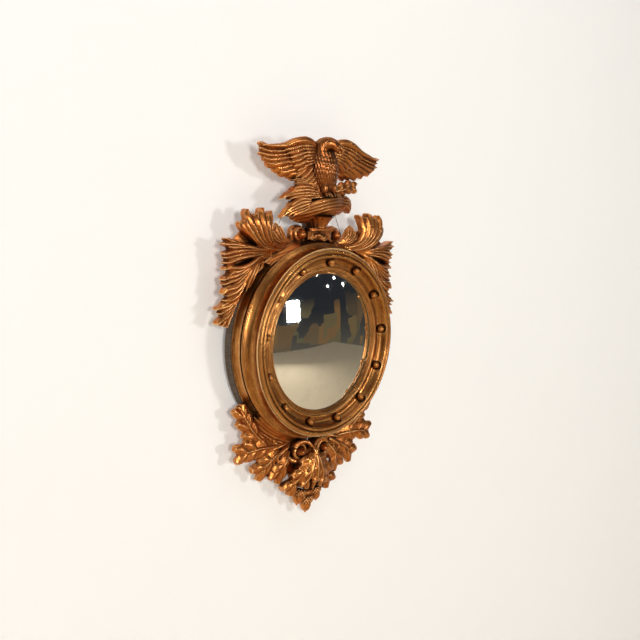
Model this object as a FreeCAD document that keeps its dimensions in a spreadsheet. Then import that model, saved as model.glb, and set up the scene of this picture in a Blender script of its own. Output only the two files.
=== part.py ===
import FreeCAD, Part
import math
import os
import Sketcher

from FreeCAD import Placement, Rotation, Vector

# Carved and gilded convex wall mirror with an eagle crest.
# Frame: millimetres, +Z up, the mirror faces -Y. The origin is the centre of
# the round frame on its back plane, so a depth d in front of the wall is y = -d.

doc = FreeCAD.newDocument("Mirror")
sheet = doc.addObject("Spreadsheet::Sheet", "Sizes")

SIZES = (
    # round frame: radii step inwards from the ring's edge, depths build up from the wall
    ("ring_radius", 206.0),
    ("raw_depth", 17.0),
    ("joint_fit", 0.2),
    ("seat_gap", 0.3),
    # side moulding
    ("side_height", 59.0),
    ("fillet_step", 2.0),
    ("fillet_height", 2.0),
    ("band_step", 8.0),
    ("band_height", 18.0),
    ("band_radius", 30.0),
    ("bead_step", 10.0),
    ("bead_quirk", 3.0),
    ("bead_width", 7.0),
    ("cove_step", 1.5),
    ("cove_radius", 20.0),
    ("top_step", 16.0),
    ("top_fillet", 2.0),
    # ball moulding
    ("front_step", 19.0),
    ("plug_step", 11.0),
    ("plug_height", 16.0),
    ("front_bead", 8.4),
    ("front_bead_radius", 4.4),
    ("front_bead_rise", 1.5),
    ("hollow_sink", 11.0),
    ("hollow_width", 17.0),
    ("hollow_radius", 12.0),
    ("lip_width", 6.0),
    ("lip_radius", 3.6),
    ("ball_step", 25.0),
    ("ball_count", 13),
    ("ball_radius", 7.0),
    ("socket_radius", 11.5),
    ("spigot_radius", 2.5),
    ("spigot_length", 10.0),
    # slip and glass
    ("slip_width", 8.0),
    ("flange_width", 3.0),
    ("flange_thick", 2.3),
    ("slip_nose", 2.6),
    ("reed_bow", 0.58),
    ("glass_curve", 620.0),
    ("glass_margin", 1.0),
    ("glass_thick", 4.0),
    ("block_count", 8),
    ("block_width", 16.0),
    ("block_reach", 13.0),
    ("block_height", 10.0),
    # back board
    ("board_ledge", 15.0),
    ("board_thick", 5.0),
    ("screw_count", 8),
    ("screw_radius", 1.6),
    ("screw_head", 3.2),
    ("screw_length", 13.0),
    ("screw_fit", 0.05),
    # battens let into the back of the ring
    ("batten_width", 30.0),
    ("batten_depth", 10.0),
    ("batten_inset", 32.0),
    ("batten_screw_bite", 5.0),
    ("crest_batten_rise", 66.0),
    ("apron_batten_drop", 90.0),
    # crest stack above the ring
    ("panel_top", 16.0),
    ("panel_depth", 34.0),
    ("volute_offset", 49.0),
    ("volute_height", 8.0),
    ("volute_radius", 18.5),
    ("volute_depth", 32.0),
    ("boss_radius", 11.0),
    ("boss_depth", 46.0),
    ("slab_thick", 5.0),
    ("slab_half", 36.0),
    ("slab_depth", 46.0),
    ("slab_corner", 8.0),
    ("urn_height", 24.0),
    ("urn_foot", 20.0),
    ("urn_mouth", 33.0),
    ("urn_axis", 26.0),
    ("platform_height", 40.0),
    ("platform_foot", 62.0),
    ("platform_half", 88.0),
    ("platform_top", 60.0),
    ("platform_axis", 34.0),
    ("platform_reach", 32.0),
    ("eagle_axis", 38.0),
    ("eagle_height", 114.0),
    ("eagle_radius", 28.0),
    ("wing_span", 171.0),
    ("wing_back", 26.0),
    ("wing_thick", 18.0),
    ("bone_half", 11.0),
    ("bone_rise", 5.0),
    ("tail_back", 20.0),
    ("tail_half", 20.0),
    ("tail_thick", 20.0),
    ("dowel_radius", 5.0),
    ("dowel_length", 24.0),
    ("sprig_thick", 12.0),
    # carved boards
    ("crest_back", 11.0),
    ("crest_thick", 12.0),
    ("apron_back", 11.0),
    ("apron_thick", 11.0),
    ("rib_rise", 6.0),
    ("stem_width", 16.0),
    ("web_width", 34.0),
    ("drop_rise", 24.0),
    ("drop_half", 17.0),
    ("drop_bevel", 22.0),
    ("scroll_offset", 33.0),
    ("scroll_drop", 19.0),
    ("scroll_radius", 19.0),
    ("scroll_wall", 6.5),
    ("scroll_floor", 14.0),
    ("scroll_height", 35.0),
    ("scroll_boss", 29.0),
    ("acorn_radius", 10.5),
    ("acorn_length", 38.0),
    ("acorn_spread", 26.0),
    ("acorn_drop", 156.0),
    ("peg_radius", 3.0),
    # hanging gear
    ("eye_angle", 57.4),
    ("eye_depth", 6.0),
    ("eye_radius", 4.0),
    ("eye_wire", 1.0),
    ("eye_shank", 12.0),
    ("eye_shank_radius", 1.3),
    ("wire_radius", 0.8),
    ("hook_radius", 5.0),
    ("wire_rise", 179.0),
)

for row, (alias, value) in enumerate(SIZES, 1):
    sheet.set("A%d" % row, alias)
    sheet.set("B%d" % row, str(value))
    sheet.setAlias("B%d" % row, alias)
doc.recompute()


class Size:
    """A length: its value now, and the expression that gives it from the sheet."""

    def __init__(self, value, text):
        self.value = float(value)
        self.text = text

    def joined(self, sign, other, result):
        other_text = other.text if isinstance(other, Size) else repr(other)
        return Size(result, "(%s %s %s)" % (self.text, sign, other_text))

    def __float__(self):
        return self.value

    def __add__(self, other):
        return self.joined("+", other, self.value + float(other))

    def __sub__(self, other):
        return self.joined("-", other, self.value - float(other))

    def __mul__(self, other):
        return self.joined("*", other, self.value * float(other))

    def __truediv__(self, other):
        return self.joined("/", other, self.value / float(other))

    def root(self):
        return Size(math.sqrt(self.value), "sqrt(%s)" % self.text)


def size(alias):
    return Size(sheet.get(alias), "Sizes." + alias)


def num(alias):
    return float(sheet.get(alias))


ORIGIN = Vector(0, 0, 0)
FORWARD = Vector(0, -1, 0)
AXIS_Y = Vector(0, 1, 0)
UP = Vector(0, 0, 1)

ring_radius = size("ring_radius")
raw_depth = size("raw_depth")
side_depth = raw_depth + size("side_height")
front_radius = ring_radius - size("front_step")
front_bead = size("front_bead")
joint_fit = size("joint_fit")
seat_gap = size("seat_gap")
hollow_wall = front_radius - front_bead * 2.0
hollow_depth = side_depth - size("hollow_sink")
slip_bore = hollow_wall - size("hollow_width") - size("lip_width")
slip_radius = slip_bore - joint_fit
bore_radius = slip_radius + size("flange_width")
board_radius = bore_radius + size("board_ledge")
board_thick = size("board_thick")
nodes = []


def origin_item(body, role):
    return next(item for item in body.Origin.OriginFeatures if item.Role == role)


def arc_between(start, end, radius, side):
    """Arc from start to end; side +1 bows to the left of the way, -1 to the right."""
    chord = end - start
    half = chord.Length / 2
    normal = Vector(-chord.y, chord.x, 0).normalize()
    rise = radius - math.sqrt(radius * radius - half * half)
    middle = (start + end) / 2 + normal * (side * rise)
    return Part.Arc(start, middle, end)


def revolved(name, outline):
    """A body turned about the Y axis from points (radius, depth[, bow radius, side]).

    A point's bow belongs to the edge that starts there; no bow is a straight edge.
    """
    body = doc.addObject("PartDesign::Body", name)
    body.Label = name
    sketch = body.newObject("Sketcher::SketchObject", name + "_profile")
    sketch.AttachmentSupport = [(origin_item(body, "XY_Plane"), "")]
    sketch.MapMode = "FlatFace"
    sketch.AttachmentOffset = Placement(ORIGIN, Rotation(Vector(1, 0, 0), 180))
    corners = [Vector(float(point[0]), float(point[1]), 0) for point in outline]
    count = len(outline)
    for index, point in enumerate(outline):
        start = corners[index]
        end = corners[(index + 1) % count]
        if len(point) == 4:
            radius, side = point[2], point[3]
            edge = sketch.addGeometry(arc_between(start, end, float(radius), side), False)
        else:
            edge = sketch.addGeometry(Part.LineSegment(start, end), False)
    firsts = [first_vertex(sketch, index, corners[index]) for index in range(count)]
    for index in range(count):
        after = (index + 1) % count
        last = 3 - firsts[index]
        sketch.addConstraint(Sketcher.Constraint("Coincident", index, last, after, firsts[after]))
    for index, point in enumerate(outline):
        place_vertex(sketch, index, firsts[index], point)
        if len(point) == 4:
            radius = point[2]
            mark = sketch.addConstraint(Sketcher.Constraint("Radius", index, float(radius)))
            if isinstance(radius, Size):
                sketch.setExpression("Constraints[%d]" % mark, radius.text)
    turn = body.newObject("PartDesign::Revolution", name + "_turned")
    turn.Profile = sketch
    turn.ReferenceAxis = (sketch, ["V_Axis"])
    turn.Angle = 360.0
    sketch.Visibility = False
    doc.recompute()
    if sketch.solve() != 0:
        raise RuntimeError("profile of %s has no solution" % name)
    return body


def first_vertex(sketch, index, corner):
    """1 or 2: the end of the edge that lies on the corner where it starts."""
    gap = sketch.getPoint(index, 1) - corner
    return 1 if gap.Length < 1e-6 else 2


def place_vertex(sketch, index, vertex, point):
    for kind, place, axis in (("DistanceX", point[0], -2), ("DistanceY", point[1], -1)):
        if float(place) == 0.0:
            sketch.addConstraint(Sketcher.Constraint("PointOnObject", index, vertex, axis))
            continue
        value = float(place)
        mark = sketch.addConstraint(Sketcher.Constraint(kind, -1, 1, index, vertex, value))
        if isinstance(place, Size):
            sketch.setExpression("Constraints[%d]" % mark, place.text)


def feature(name, shape):
    """A sub-part whose shape is worked out here from the sheet's sizes."""
    item = doc.addObject("Part::Feature", name)
    item.Label = name
    item.Shape = shape
    item.Placement = Placement()
    nodes.append(item)
    return item


def cut_body(name, base, tools):
    """The base object less the tool shapes, as a Part::Cut under its own label."""
    tool = doc.addObject("Part::Feature", name + "_tools")
    tool.Shape = Part.makeCompound(tools)
    base.Label = name + "_blank"
    item = doc.addObject("Part::Cut", name)
    item.Base = base
    item.Tool = tool
    item.Label = name
    nodes.append(item)
    return item


def bar(radius, start, end):
    """A round bar between two points."""
    way = end - start
    return Part.makeCylinder(radius, way.Length, start, way)


def block(x_low, x_high, d_low, d_high, z_low, z_high):
    """A box from its x range, its depth range in front of the wall and its z range."""
    corner = Vector(x_low, -d_high, z_low)
    return Part.makeBox(x_high - x_low, d_high - d_low, z_high - z_low, corner)


def around(shape, count, start=0.0):
    """Copies of a shape turned evenly round the mirror's axis."""
    copies = []
    for index in range(int(count)):
        copy = shape.copy()
        copy.rotate(ORIGIN, AXIS_Y, start + 360.0 * index / count)
        copies.append(copy)
    return copies


def mirrored(shape):
    return shape.mirror(ORIGIN, Vector(1, 0, 0))


def joined(shapes):
    """One solid from touching shapes."""
    whole = shapes[0]
    if len(shapes) > 1:
        whole = whole.fuse(shapes[1:])
    whole = whole.removeSplitter()
    if len(whole.Solids) != 1:
        raise RuntimeError("pieces that should be one solid are %d" % len(whole.Solids))
    return whole.Solids[0]


# ---------------------------------------------------------------- screws

def wood_screw(head_point, way, length):
    """Countersunk screw: its flat head at head_point, its shank along way."""
    radius = num("screw_radius")
    head = num("screw_head")
    cone = Part.makeCone(head, radius, head - radius, head_point, way)
    shank = Part.makeCylinder(radius, length, head_point, way)
    return cone.fuse(shank).removeSplitter()


def screw_hole(head_point, way, length):
    fit = num("screw_fit")
    radius = num("screw_radius") + fit
    head = num("screw_head") + fit
    cone = Part.makeCone(head, radius, head - radius, head_point, way)
    return cone.fuse(Part.makeCylinder(radius, length, head_point, way))


screw_circle = float(bore_radius + size("board_ledge") / 2.0)
BOARD_SCREW_HEADS = [
    Vector(screw_circle * math.cos(angle), 0, screw_circle * math.sin(angle))
    for angle in (math.radians(22.5 + 360.0 * index / num("screw_count"))
                  for index in range(int(num("screw_count"))))
]
board_screws = [wood_screw(head, FORWARD, num("screw_length")) for head in BOARD_SCREW_HEADS]
board_holes = [screw_hole(head, FORWARD, num("screw_length")) for head in BOARD_SCREW_HEADS]

# Battens run from inside the ring's back to behind the carvings. Heights along
# Z: the ring's edge plus or minus the batten's own lengths.
ring_top = num("ring_radius")
batten_half = num("batten_width") / 2
batten_start = ring_top - num("batten_inset")
crest_batten_top = ring_top + num("crest_batten_rise")
apron_batten_low = -ring_top - num("apron_batten_drop")
batten_depth = num("batten_depth")
BATTEN_SCREW_STEPS = (8.0, 22.0)
CREST_SCREW_RISES = (12.0, 52.0)
APRON_SCREW_DROPS = (14.0, 60.0)
BATTEN_SCREWS = [Vector(0, 0, side * (batten_start + step))
                 for side in (1, -1) for step in BATTEN_SCREW_STEPS]
CREST_SCREWS = [Vector(0, 0, ring_top + rise) for rise in CREST_SCREW_RISES]
APRON_SCREWS = [Vector(0, 0, -ring_top - drop) for drop in APRON_SCREW_DROPS]
batten_screw_length = batten_depth + num("batten_screw_bite")
batten_screws = [wood_screw(head, FORWARD, batten_screw_length)
                 for head in BATTEN_SCREWS + CREST_SCREWS + APRON_SCREWS]
batten_holes = [screw_hole(head, FORWARD, batten_screw_length)
                for head in BATTEN_SCREWS + CREST_SCREWS + APRON_SCREWS]

# ---------------------------------------------------------------- hanging gear places

eye_turn = math.radians(num("eye_angle"))
eye_way = Vector(math.cos(eye_turn), 0, math.sin(eye_turn))
eye_root = eye_way * ring_top - Vector(0, num("eye_depth"), 0)
eye_centre = eye_root + eye_way * (num("eye_radius") + num("eye_wire") + 1.0)


def screw_eye(grow=0.0):
    """The right-hand screw eye: a ring on a shank that enters the frame's rim."""
    ring = Part.makeTorus(num("eye_radius"), num("eye_wire"), eye_centre, AXIS_Y)
    low = eye_root - eye_way * num("eye_shank")
    high = eye_centre - eye_way * num("eye_radius")
    return ring, bar(num("eye_shank_radius") + grow, low, high)


eye_ring, eye_shank = screw_eye()
eye_right = joined([eye_ring, eye_shank])
eye_bore = screw_eye(num("screw_fit"))[1]
eye_bores = [eye_bore, mirrored(eye_bore)]

# ---------------------------------------------------------------- dowels into the rim

CREST_DOWEL_ANGLES = (42.0, 68.0)
APRON_DOWEL_ANGLES = (-50.0, -68.0)


def rim_dowel(angle, depth, grow=0.0):
    way = Vector(math.cos(math.radians(angle)), 0, math.sin(math.radians(angle)))
    middle = way * ring_top - Vector(0, depth, 0)
    reach = num("dowel_length") / 2
    return bar(num("peg_radius") + grow, middle - way * (reach - 3.0), middle + way * (reach - 3.0))


rim_dowel_depth = num("crest_back") + num("peg_radius") + 0.4
crest_dowels = [rim_dowel(angle, rim_dowel_depth) for angle in CREST_DOWEL_ANGLES]
crest_dowels += [mirrored(dowel) for dowel in crest_dowels]
apron_dowels = [rim_dowel(angle, rim_dowel_depth) for angle in APRON_DOWEL_ANGLES]
apron_dowels += [mirrored(dowel) for dowel in apron_dowels]
dowel_fit = num("screw_fit")
rim_bores = [rim_dowel(angle, rim_dowel_depth, dowel_fit)
             for angle in CREST_DOWEL_ANGLES + APRON_DOWEL_ANGLES]
rim_bores += [mirrored(bore) for bore in rim_bores]

# ---------------------------------------------------------------- round frame

rebate_radius = board_radius + joint_fit
back_blank = revolved("back_ring", [
    (rebate_radius, 0.0),
    (ring_radius, 0.0),
    (ring_radius, raw_depth),
    (bore_radius, raw_depth),
    (bore_radius, board_thick),
    (rebate_radius, board_thick),
])
batten_slots = [
    block(-batten_half - float(joint_fit), batten_half + float(joint_fit), -1.0,
          batten_depth, batten_start - float(joint_fit), ring_top + 1.0),
    block(-batten_half - float(joint_fit), batten_half + float(joint_fit), -1.0,
          batten_depth, -ring_top - 1.0, -batten_start + float(joint_fit)),
]
back_ring = cut_body("back_ring", back_blank,
                     batten_slots + board_holes + batten_holes[:len(BATTEN_SCREWS)]
                     + eye_bores + rim_bores)

band_end = ring_radius - size("band_step")
bead_start = ring_radius - size("bead_step")
band_depth = raw_depth + size("band_height")
bead_depth = band_depth + size("bead_quirk")
bead_width = size("bead_width")
cove_start = bead_start - size("cove_step")
side_top = ring_radius - size("top_step")
counterbore = front_radius - size("plug_step")
plug_depth = side_depth - size("plug_height")
side_body = revolved("side_moulding", [
    (bore_radius, raw_depth),
    (ring_radius - size("fillet_step"), raw_depth),
    (ring_radius - size("fillet_step"), raw_depth + size("fillet_height")),
    (ring_radius - size("fillet_step") * 2.0, raw_depth + size("fillet_height") * 1.2,
     size("band_radius"), 1),
    (band_end, band_depth),
    (bead_start, band_depth),
    (bead_start, bead_depth, bead_width / 2.0 + 0.02, -1),
    (bead_start, bead_depth + bead_width),
    (cove_start, bead_depth + bead_width + 1.0, size("cove_radius"), 1),
    (side_top, side_depth - size("top_fillet")),
    (side_top, side_depth),
    (counterbore, side_depth),
    (counterbore, plug_depth),
    (bore_radius, plug_depth),
])
side_moulding = cut_body("side_moulding", side_body, rim_bores)

bead_seat = side_depth + size("front_bead_rise")
lip_outer = slip_bore + size("lip_width")
ball_body = revolved("ball_moulding", [
    (slip_bore, plug_depth),
    (counterbore - joint_fit, plug_depth),
    (counterbore - joint_fit, side_depth),
    (front_radius, side_depth),
    (front_radius, bead_seat, size("front_bead_radius"), -1),
    (front_radius - front_bead, bead_seat + 1.0, size("front_bead_radius"), -1),
    (hollow_wall, bead_seat),
    (hollow_wall - 1.0, bead_seat - 4.0, size("hollow_radius"), 1),
    (lip_outer + 6.0, hollow_depth),
    (lip_outer, hollow_depth + 0.8, size("lip_radius"), -1),
    (slip_bore, hollow_depth + 0.8),
])

ball_circle = float(front_radius - size("ball_step"))
ball_count = num("ball_count")
ball_depth = float(hollow_depth) + num("ball_radius")
spigot_radius = num("spigot_radius")


def ball_place(depth):
    return Vector(0, -depth, ball_circle)


socket = Part.makeSphere(num("socket_radius"), ball_place(ball_depth + 1.0))
spigot_hole = Part.makeCylinder(spigot_radius + dowel_fit, num("spigot_length"),
                                ball_place(ball_depth), AXIS_Y)
ball_moulding = cut_body("ball_moulding", ball_body,
                         around(socket.fuse(spigot_hole), ball_count))
ball = joined([
    Part.makeSphere(num("ball_radius"), ball_place(ball_depth)),
    Part.makeCylinder(spigot_radius, num("spigot_length"), ball_place(ball_depth), AXIS_Y),
])
gilt_balls = feature("gilt_balls", Part.makeCompound(around(ball, ball_count)))

# ---------------------------------------------------------------- glass and slip

# The slip's flange holds the glass: the dome's depth follows from where it meets the flange.
glass_curve = size("glass_curve")
flange_radius = bore_radius - joint_fit
flange_back = plug_depth - size("flange_thick")
flange_sagitta = glass_curve - (glass_curve * glass_curve - flange_radius * flange_radius).root()
glass_front = flange_back - seat_gap + flange_sagitta
glass_radius = slip_radius - size("glass_margin")
glass_thick = size("glass_thick")


def dome_depth(front, curve, radius):
    """Depth of a dome's surface at a radius from its axis."""
    return front - curve + (curve * curve - radius * radius).root()


glass_edge = dome_depth(glass_front, glass_curve, glass_radius)
back_curve = glass_curve - glass_thick
glass_back_edge = dome_depth(glass_front - glass_thick, back_curve, glass_radius)
mirror_glass = revolved("mirror_glass", [
    (0.0, glass_front - glass_thick, back_curve, 1),
    (glass_radius, glass_back_edge),
    (glass_radius, glass_edge, glass_curve, -1),
    (0.0, glass_front),
])
nodes.append(mirror_glass)

sight_radius = slip_radius - size("slip_width")
slip_top = hollow_depth
sight_back = dome_depth(glass_front, glass_curve, sight_radius) + seat_gap
nose_top = sight_back + size("slip_nose")
reed_run = (slip_radius - sight_radius - 1.0) / 3.0
reed_climb = (slip_top - nose_top) / 3.0
# A reed's radius is its chord times its bow, so that it stays round at any size.
reed_chord = (reed_run * reed_run + reed_climb * reed_climb).root()
reed_radius = reed_chord * size("reed_bow")
reeded_slip = revolved("reeded_slip", [
    (sight_radius, sight_back),
    (flange_radius, flange_back),
    (flange_radius, plug_depth),
    (slip_radius, plug_depth),
    (slip_radius, slip_top),
    (slip_radius - 1.0, slip_top, reed_radius, 1),
    (slip_radius - 1.0 - reed_run, slip_top - reed_climb, reed_radius, 1),
    (sight_radius + reed_run, nose_top + reed_climb, reed_radius, 1),
    (sight_radius, nose_top),
])
nodes.append(reeded_slip)

block_front = float(glass_back_edge - seat_gap)
block_half = num("block_width") / 2
bore_cylinder = Part.makeCylinder(float(bore_radius), 100.0, ORIGIN, FORWARD)
glazing_block = block(-block_half, block_half, block_front - num("block_height"), block_front,
                      float(bore_radius) - num("block_reach"), float(bore_radius) + 5.0)
glazing_block = glazing_block.common(bore_cylinder)
feature("glazing_blocks", Part.makeCompound(around(glazing_block, num("block_count"))))

board_blank = doc.addObject("Part::Cylinder", "back_board_disc")
board_blank.setExpression("Radius", board_radius.text)
board_blank.setExpression("Height", board_thick.text)
board_blank.Placement = Placement(ORIGIN, Rotation(Vector(1, 0, 0), 90))
back_board = cut_body("back_board", board_blank, board_holes)
feature("back_board_screws", Part.makeCompound(board_screws))

# ---------------------------------------------------------------- carved work

rim_fit = num("joint_fit")
rim_cutter = Part.makeCylinder(ring_top + rim_fit, 200.0, Vector(0, 50, 0), FORWARD)


def rim_point(angle, out):
    """A point at an angle round the ring, out from its edge."""
    reach = ring_top + out
    return (reach * math.cos(math.radians(angle)), reach * math.sin(math.radians(angle)))


def spine_of(poles):
    spine = Part.BezierCurve()
    spine.setPoles([Vector(x, 0, z) for x, z in poles])
    return spine


def beside(spine, at, offset):
    """A point beside the spine, square to it."""
    way = spine.tangent(at)[0]
    return spine.value(at) + Vector(-way.z, 0, way.x) * offset


def frond(poles, half_width, lobes, depth, thick):
    """A flat leaf along a spine, with round lobes on both edges."""
    spine = spine_of(poles)

    def reach(at, share):
        return half_width * share * math.sin(math.pi * (0.12 + 0.80 * at))

    tip = spine.value(1.0)
    sides = {}
    for side in (1, -1):
        notches = [beside(spine, k / lobes, side * reach(k / lobes, 0.72)) for k in range(lobes)]
        notches.append(tip)
        crowns = [beside(spine, (k + 0.62) / lobes, side * reach((k + 0.62) / lobes, 1.0))
                  for k in range(lobes)]
        sides[side] = [Part.Arc(notches[k], crowns[k], notches[k + 1]).toShape()
                       for k in range(lobes)]
    edges = sides[1] + sides[-1]
    root = [beside(spine, 0.0, side * reach(0.0, 0.72)) for side in (1, -1)]
    edges.append(Part.makeLine(root[0], root[1]))
    face = Part.Face(Part.Wire(Part.__sortEdges__(edges)))
    face.translate(FORWARD * depth)
    return face.extrude(FORWARD * thick)


def ribbed_frond(poles, half_width, lobes, depth, thick, rise):
    """A leaf with a raised middle, stepped as the carver roughs it out."""
    leaf = frond(poles, half_width, lobes, depth, thick)
    rib = frond(poles, half_width * 0.42, 1, depth, thick + rise)
    return [leaf, rib]


def carved(leaves, depth, thick, rise, extras=()):
    solids = list(extras)
    for poles, half_width, lobes in leaves:
        solids += ribbed_frond(poles, half_width, lobes, depth, thick, rise)
    whole = solids[0].fuse(solids[1:]).cut(rim_cutter).removeSplitter()
    return max(whole.Solids, key=lambda solid: solid.Volume)


def rim_band(start, end, width, depth, thick):
    """A curved stem on the ring's edge between two angles, width outwards."""
    middle = (start + end) / 2
    inner = [Vector(*flat(rim_point(angle, rim_fit))) for angle in (start, middle, end)]
    outer = [Vector(*flat(rim_point(angle, width))) for angle in (start, middle, end)]
    wire = Part.Wire([
        Part.Arc(*inner).toShape(),
        Part.makeLine(inner[2], outer[2]),
        Part.Arc(outer[2], outer[1], outer[0]).toShape(),
        Part.makeLine(outer[0], inner[0]),
    ])
    face = Part.Face(wire)
    face.translate(FORWARD * depth)
    return face.extrude(FORWARD * thick)


def flat(point):
    return (point[0], 0, point[1])


# Right-hand crest: leaves as spine points (angle round the ring, out from its
# edge), half width and lobes on each side.
CREST_LEAVES = (
    (((53.0, 20.0), (50.5, 64.0), (53.5, 90.0), (59.0, 104.0)), 31.0, 3),
    (((50.0, 14.0), (45.0, 56.0), (42.0, 80.0), (39.2, 102.0)), 24.0, 4),
    (((45.0, 12.0), (40.0, 40.0), (36.0, 66.0), (33.0, 78.0)), 17.0, 3),
    (((41.0, 6.0), (35.0, 30.0), (28.0, 46.0), (22.5, 56.0)), 18.0, 4),
    (((34.0, 2.0), (28.0, 24.0), (22.0, 40.0), (15.0, 55.0)), 17.0, 3),
    (((30.0, 0.0), (22.0, 26.0), (15.0, 34.0), (8.8, 26.0)), 17.0, 4),
)
crest_leaves = [([rim_point(*pole) for pole in poles], half, lobes)
                for poles, half, lobes in CREST_LEAVES]
crest_back = num("crest_back")
crest_thick = num("crest_thick")
rib_rise = num("rib_rise")
# Stems and webs run along the ring's edge between two angles.
CREST_STEM_SPAN = (21.0, 76.0)
CREST_WEB_SPAN = (30.0, 57.0)
crest_stem = rim_band(*CREST_STEM_SPAN, num("stem_width"), crest_back, crest_thick)
SPRIG_LEAF = ((((67.5, 17.0), (66.0, 26.0), (64.0, 34.0), (65.8, 51.0)), 15.0, 3),)
sprig_leaves = [([rim_point(*pole) for pole in poles], half, lobes)
                for poles, half, lobes in SPRIG_LEAF]

volute_offset = num("volute_offset")
volute_radius = num("volute_radius")
volute_z = ring_top + num("volute_height")
panel_half = volute_offset - volute_radius - rim_fit
panel_top = ring_top + num("panel_top")
plinth_back = batten_depth
panel = block(-panel_half, panel_half, plinth_back, num("panel_depth"),
              ring_top - 30.0, panel_top)
plinth = panel.cut(rim_cutter)
plinth = max(plinth.Solids, key=lambda solid: solid.Volume)

volute = Part.makeCylinder(volute_radius, num("volute_depth") - crest_back,
                           Vector(volute_offset, -crest_back, volute_z), FORWARD)
crest_web = rim_band(*CREST_WEB_SPAN, num("web_width"), crest_back, crest_thick)
crest_right = carved(crest_leaves, crest_back, crest_thick, rib_rise,
                     [crest_stem, crest_web, volute])
clear_of_plinth = block(-panel_half - rim_fit, panel_half + rim_fit, -1.0, 100.0,
                        ring_top - 40.0, panel_top + rim_fit)
crest_right = crest_right.cut([clear_of_plinth])
crest_right = max(crest_right.Solids, key=lambda solid: solid.Volume)
sprig_right = carved(sprig_leaves, crest_back, crest_thick, rib_rise)
sprig_right = sprig_right.cut([crest_right])
sprig_right = max(sprig_right.Solids, key=lambda solid: solid.Volume)
crest_right = crest_right.cut(rim_bores)
feature("crest_right", crest_right)
feature("crest_left", mirrored(crest_right))
feature("crest_sprig_right", sprig_right)
feature("crest_sprig_left", mirrored(sprig_right))
first_crest_hole = len(BATTEN_SCREWS)
feature("volute_plinth", plinth.cut(batten_holes[first_crest_hole]))

boss_radius = num("boss_radius")


def turned_boss(centre_x, centre_z, seat, front):
    """A domed button on a flat seat; seat and front are depths."""
    dome = Part.makeSphere(boss_radius, Vector(centre_x, 0, centre_z))
    squash = FreeCAD.Matrix()
    squash.scale(Vector(1.0, (front - seat) / boss_radius, 1.0))
    dome = dome.transformGeometry(squash)
    dome.translate(FORWARD * seat)
    room = 3.0 * boss_radius
    keep = block(centre_x - room, centre_x + room, seat, seat + 4.0 * room,
                 centre_z - room, centre_z + room)
    return dome.common(keep)


volute_bosses = [turned_boss(side * volute_offset, volute_z, num("volute_depth"),
                             num("boss_depth")) for side in (1, -1)]
feature("volute_bosses", Part.makeCompound(volute_bosses))

slab_low = panel_top
slab_high = slab_low + num("slab_thick")
slab = block(-num("slab_half"), num("slab_half"), plinth_back, num("slab_depth"),
             slab_low, slab_high)
slab_edges = [edge for edge in slab.Edges if edge.BoundBox.ZLength > 1.0
              and edge.BoundBox.Center.y < -20.0]
slab = slab.makeFillet(num("slab_corner"), slab_edges)
volute_room = [Part.makeCylinder(volute_radius + rim_fit, 100.0,
                                 Vector(side * volute_offset, 0, volute_z), FORWARD)
               for side in (1, -1)]
slab = slab.cut(volute_room)
feature("urn_slab", max(slab.Solids, key=lambda solid: solid.Volume))

urn_high = slab_high + num("urn_height")
urn_axis = num("urn_axis")
urn_profile = [
    (0.0, slab_high),
    (num("urn_foot") + 2.0, slab_high),
    (num("urn_foot"), slab_high + 3.0),
    (num("urn_foot") + 1.0, slab_high + 8.0),
    (num("urn_mouth") - 3.0, urn_high - 3.0),
    (num("urn_mouth"), urn_high),
    (0.0, urn_high),
]
urn_wire = Part.makePolygon([Vector(reach, 0, height)
                             for reach, height in urn_profile + urn_profile[:1]])
urn = Part.Face(urn_wire).revolve(ORIGIN, UP, 360)
urn.translate(FORWARD * urn_axis)
behind = block(-300.0, 300.0, -200.0, batten_depth, 0.0, 600.0)
urn = urn.cut(behind)
feature("urn", urn.Solids[0])


def oval(half_x, half_y, depth, height):
    """A flat oval wire at a height."""
    ellipse = Part.Ellipse(ORIGIN, half_x, half_y)
    wire = Part.Wire([ellipse.toShape()])
    wire.translate(Vector(0, -depth, height))
    return wire


platform_low = urn_high
platform_high = platform_low + num("platform_height")
platform_axis = num("platform_axis")
platform_reach = num("platform_reach")
platform = Part.makeLoft([
    oval(num("platform_foot") * 0.62, platform_reach * 0.85, platform_axis, platform_low),
    oval(num("platform_foot"), platform_reach * 0.95, platform_axis, platform_low + 6.0),
    oval(num("platform_half"), platform_reach, platform_axis, platform_low + 18.0),
    oval(num("platform_half") * 0.92, platform_reach, platform_axis, platform_high - 12.0),
    oval(num("platform_top"), platform_reach * 0.8, platform_axis, platform_high),
], True, False)
platform = platform.cut(behind)

eagle_axis = num("eagle_axis")
eagle_low = platform_high
peg_place = Vector(0, -eagle_axis, eagle_low)
peg_half = UP * (num("dowel_length") / 2)
eagle_peg = bar(num("dowel_radius"), peg_place - peg_half, peg_place + peg_half)
eagle_bore = bar(num("dowel_radius") + dowel_fit, peg_place - peg_half, peg_place + peg_half)
platform = platform.cut([eagle_bore, batten_holes[first_crest_hole + 1]])
feature("platform", platform.Solids[0])
feature("eagle_dowel", eagle_peg)

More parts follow.
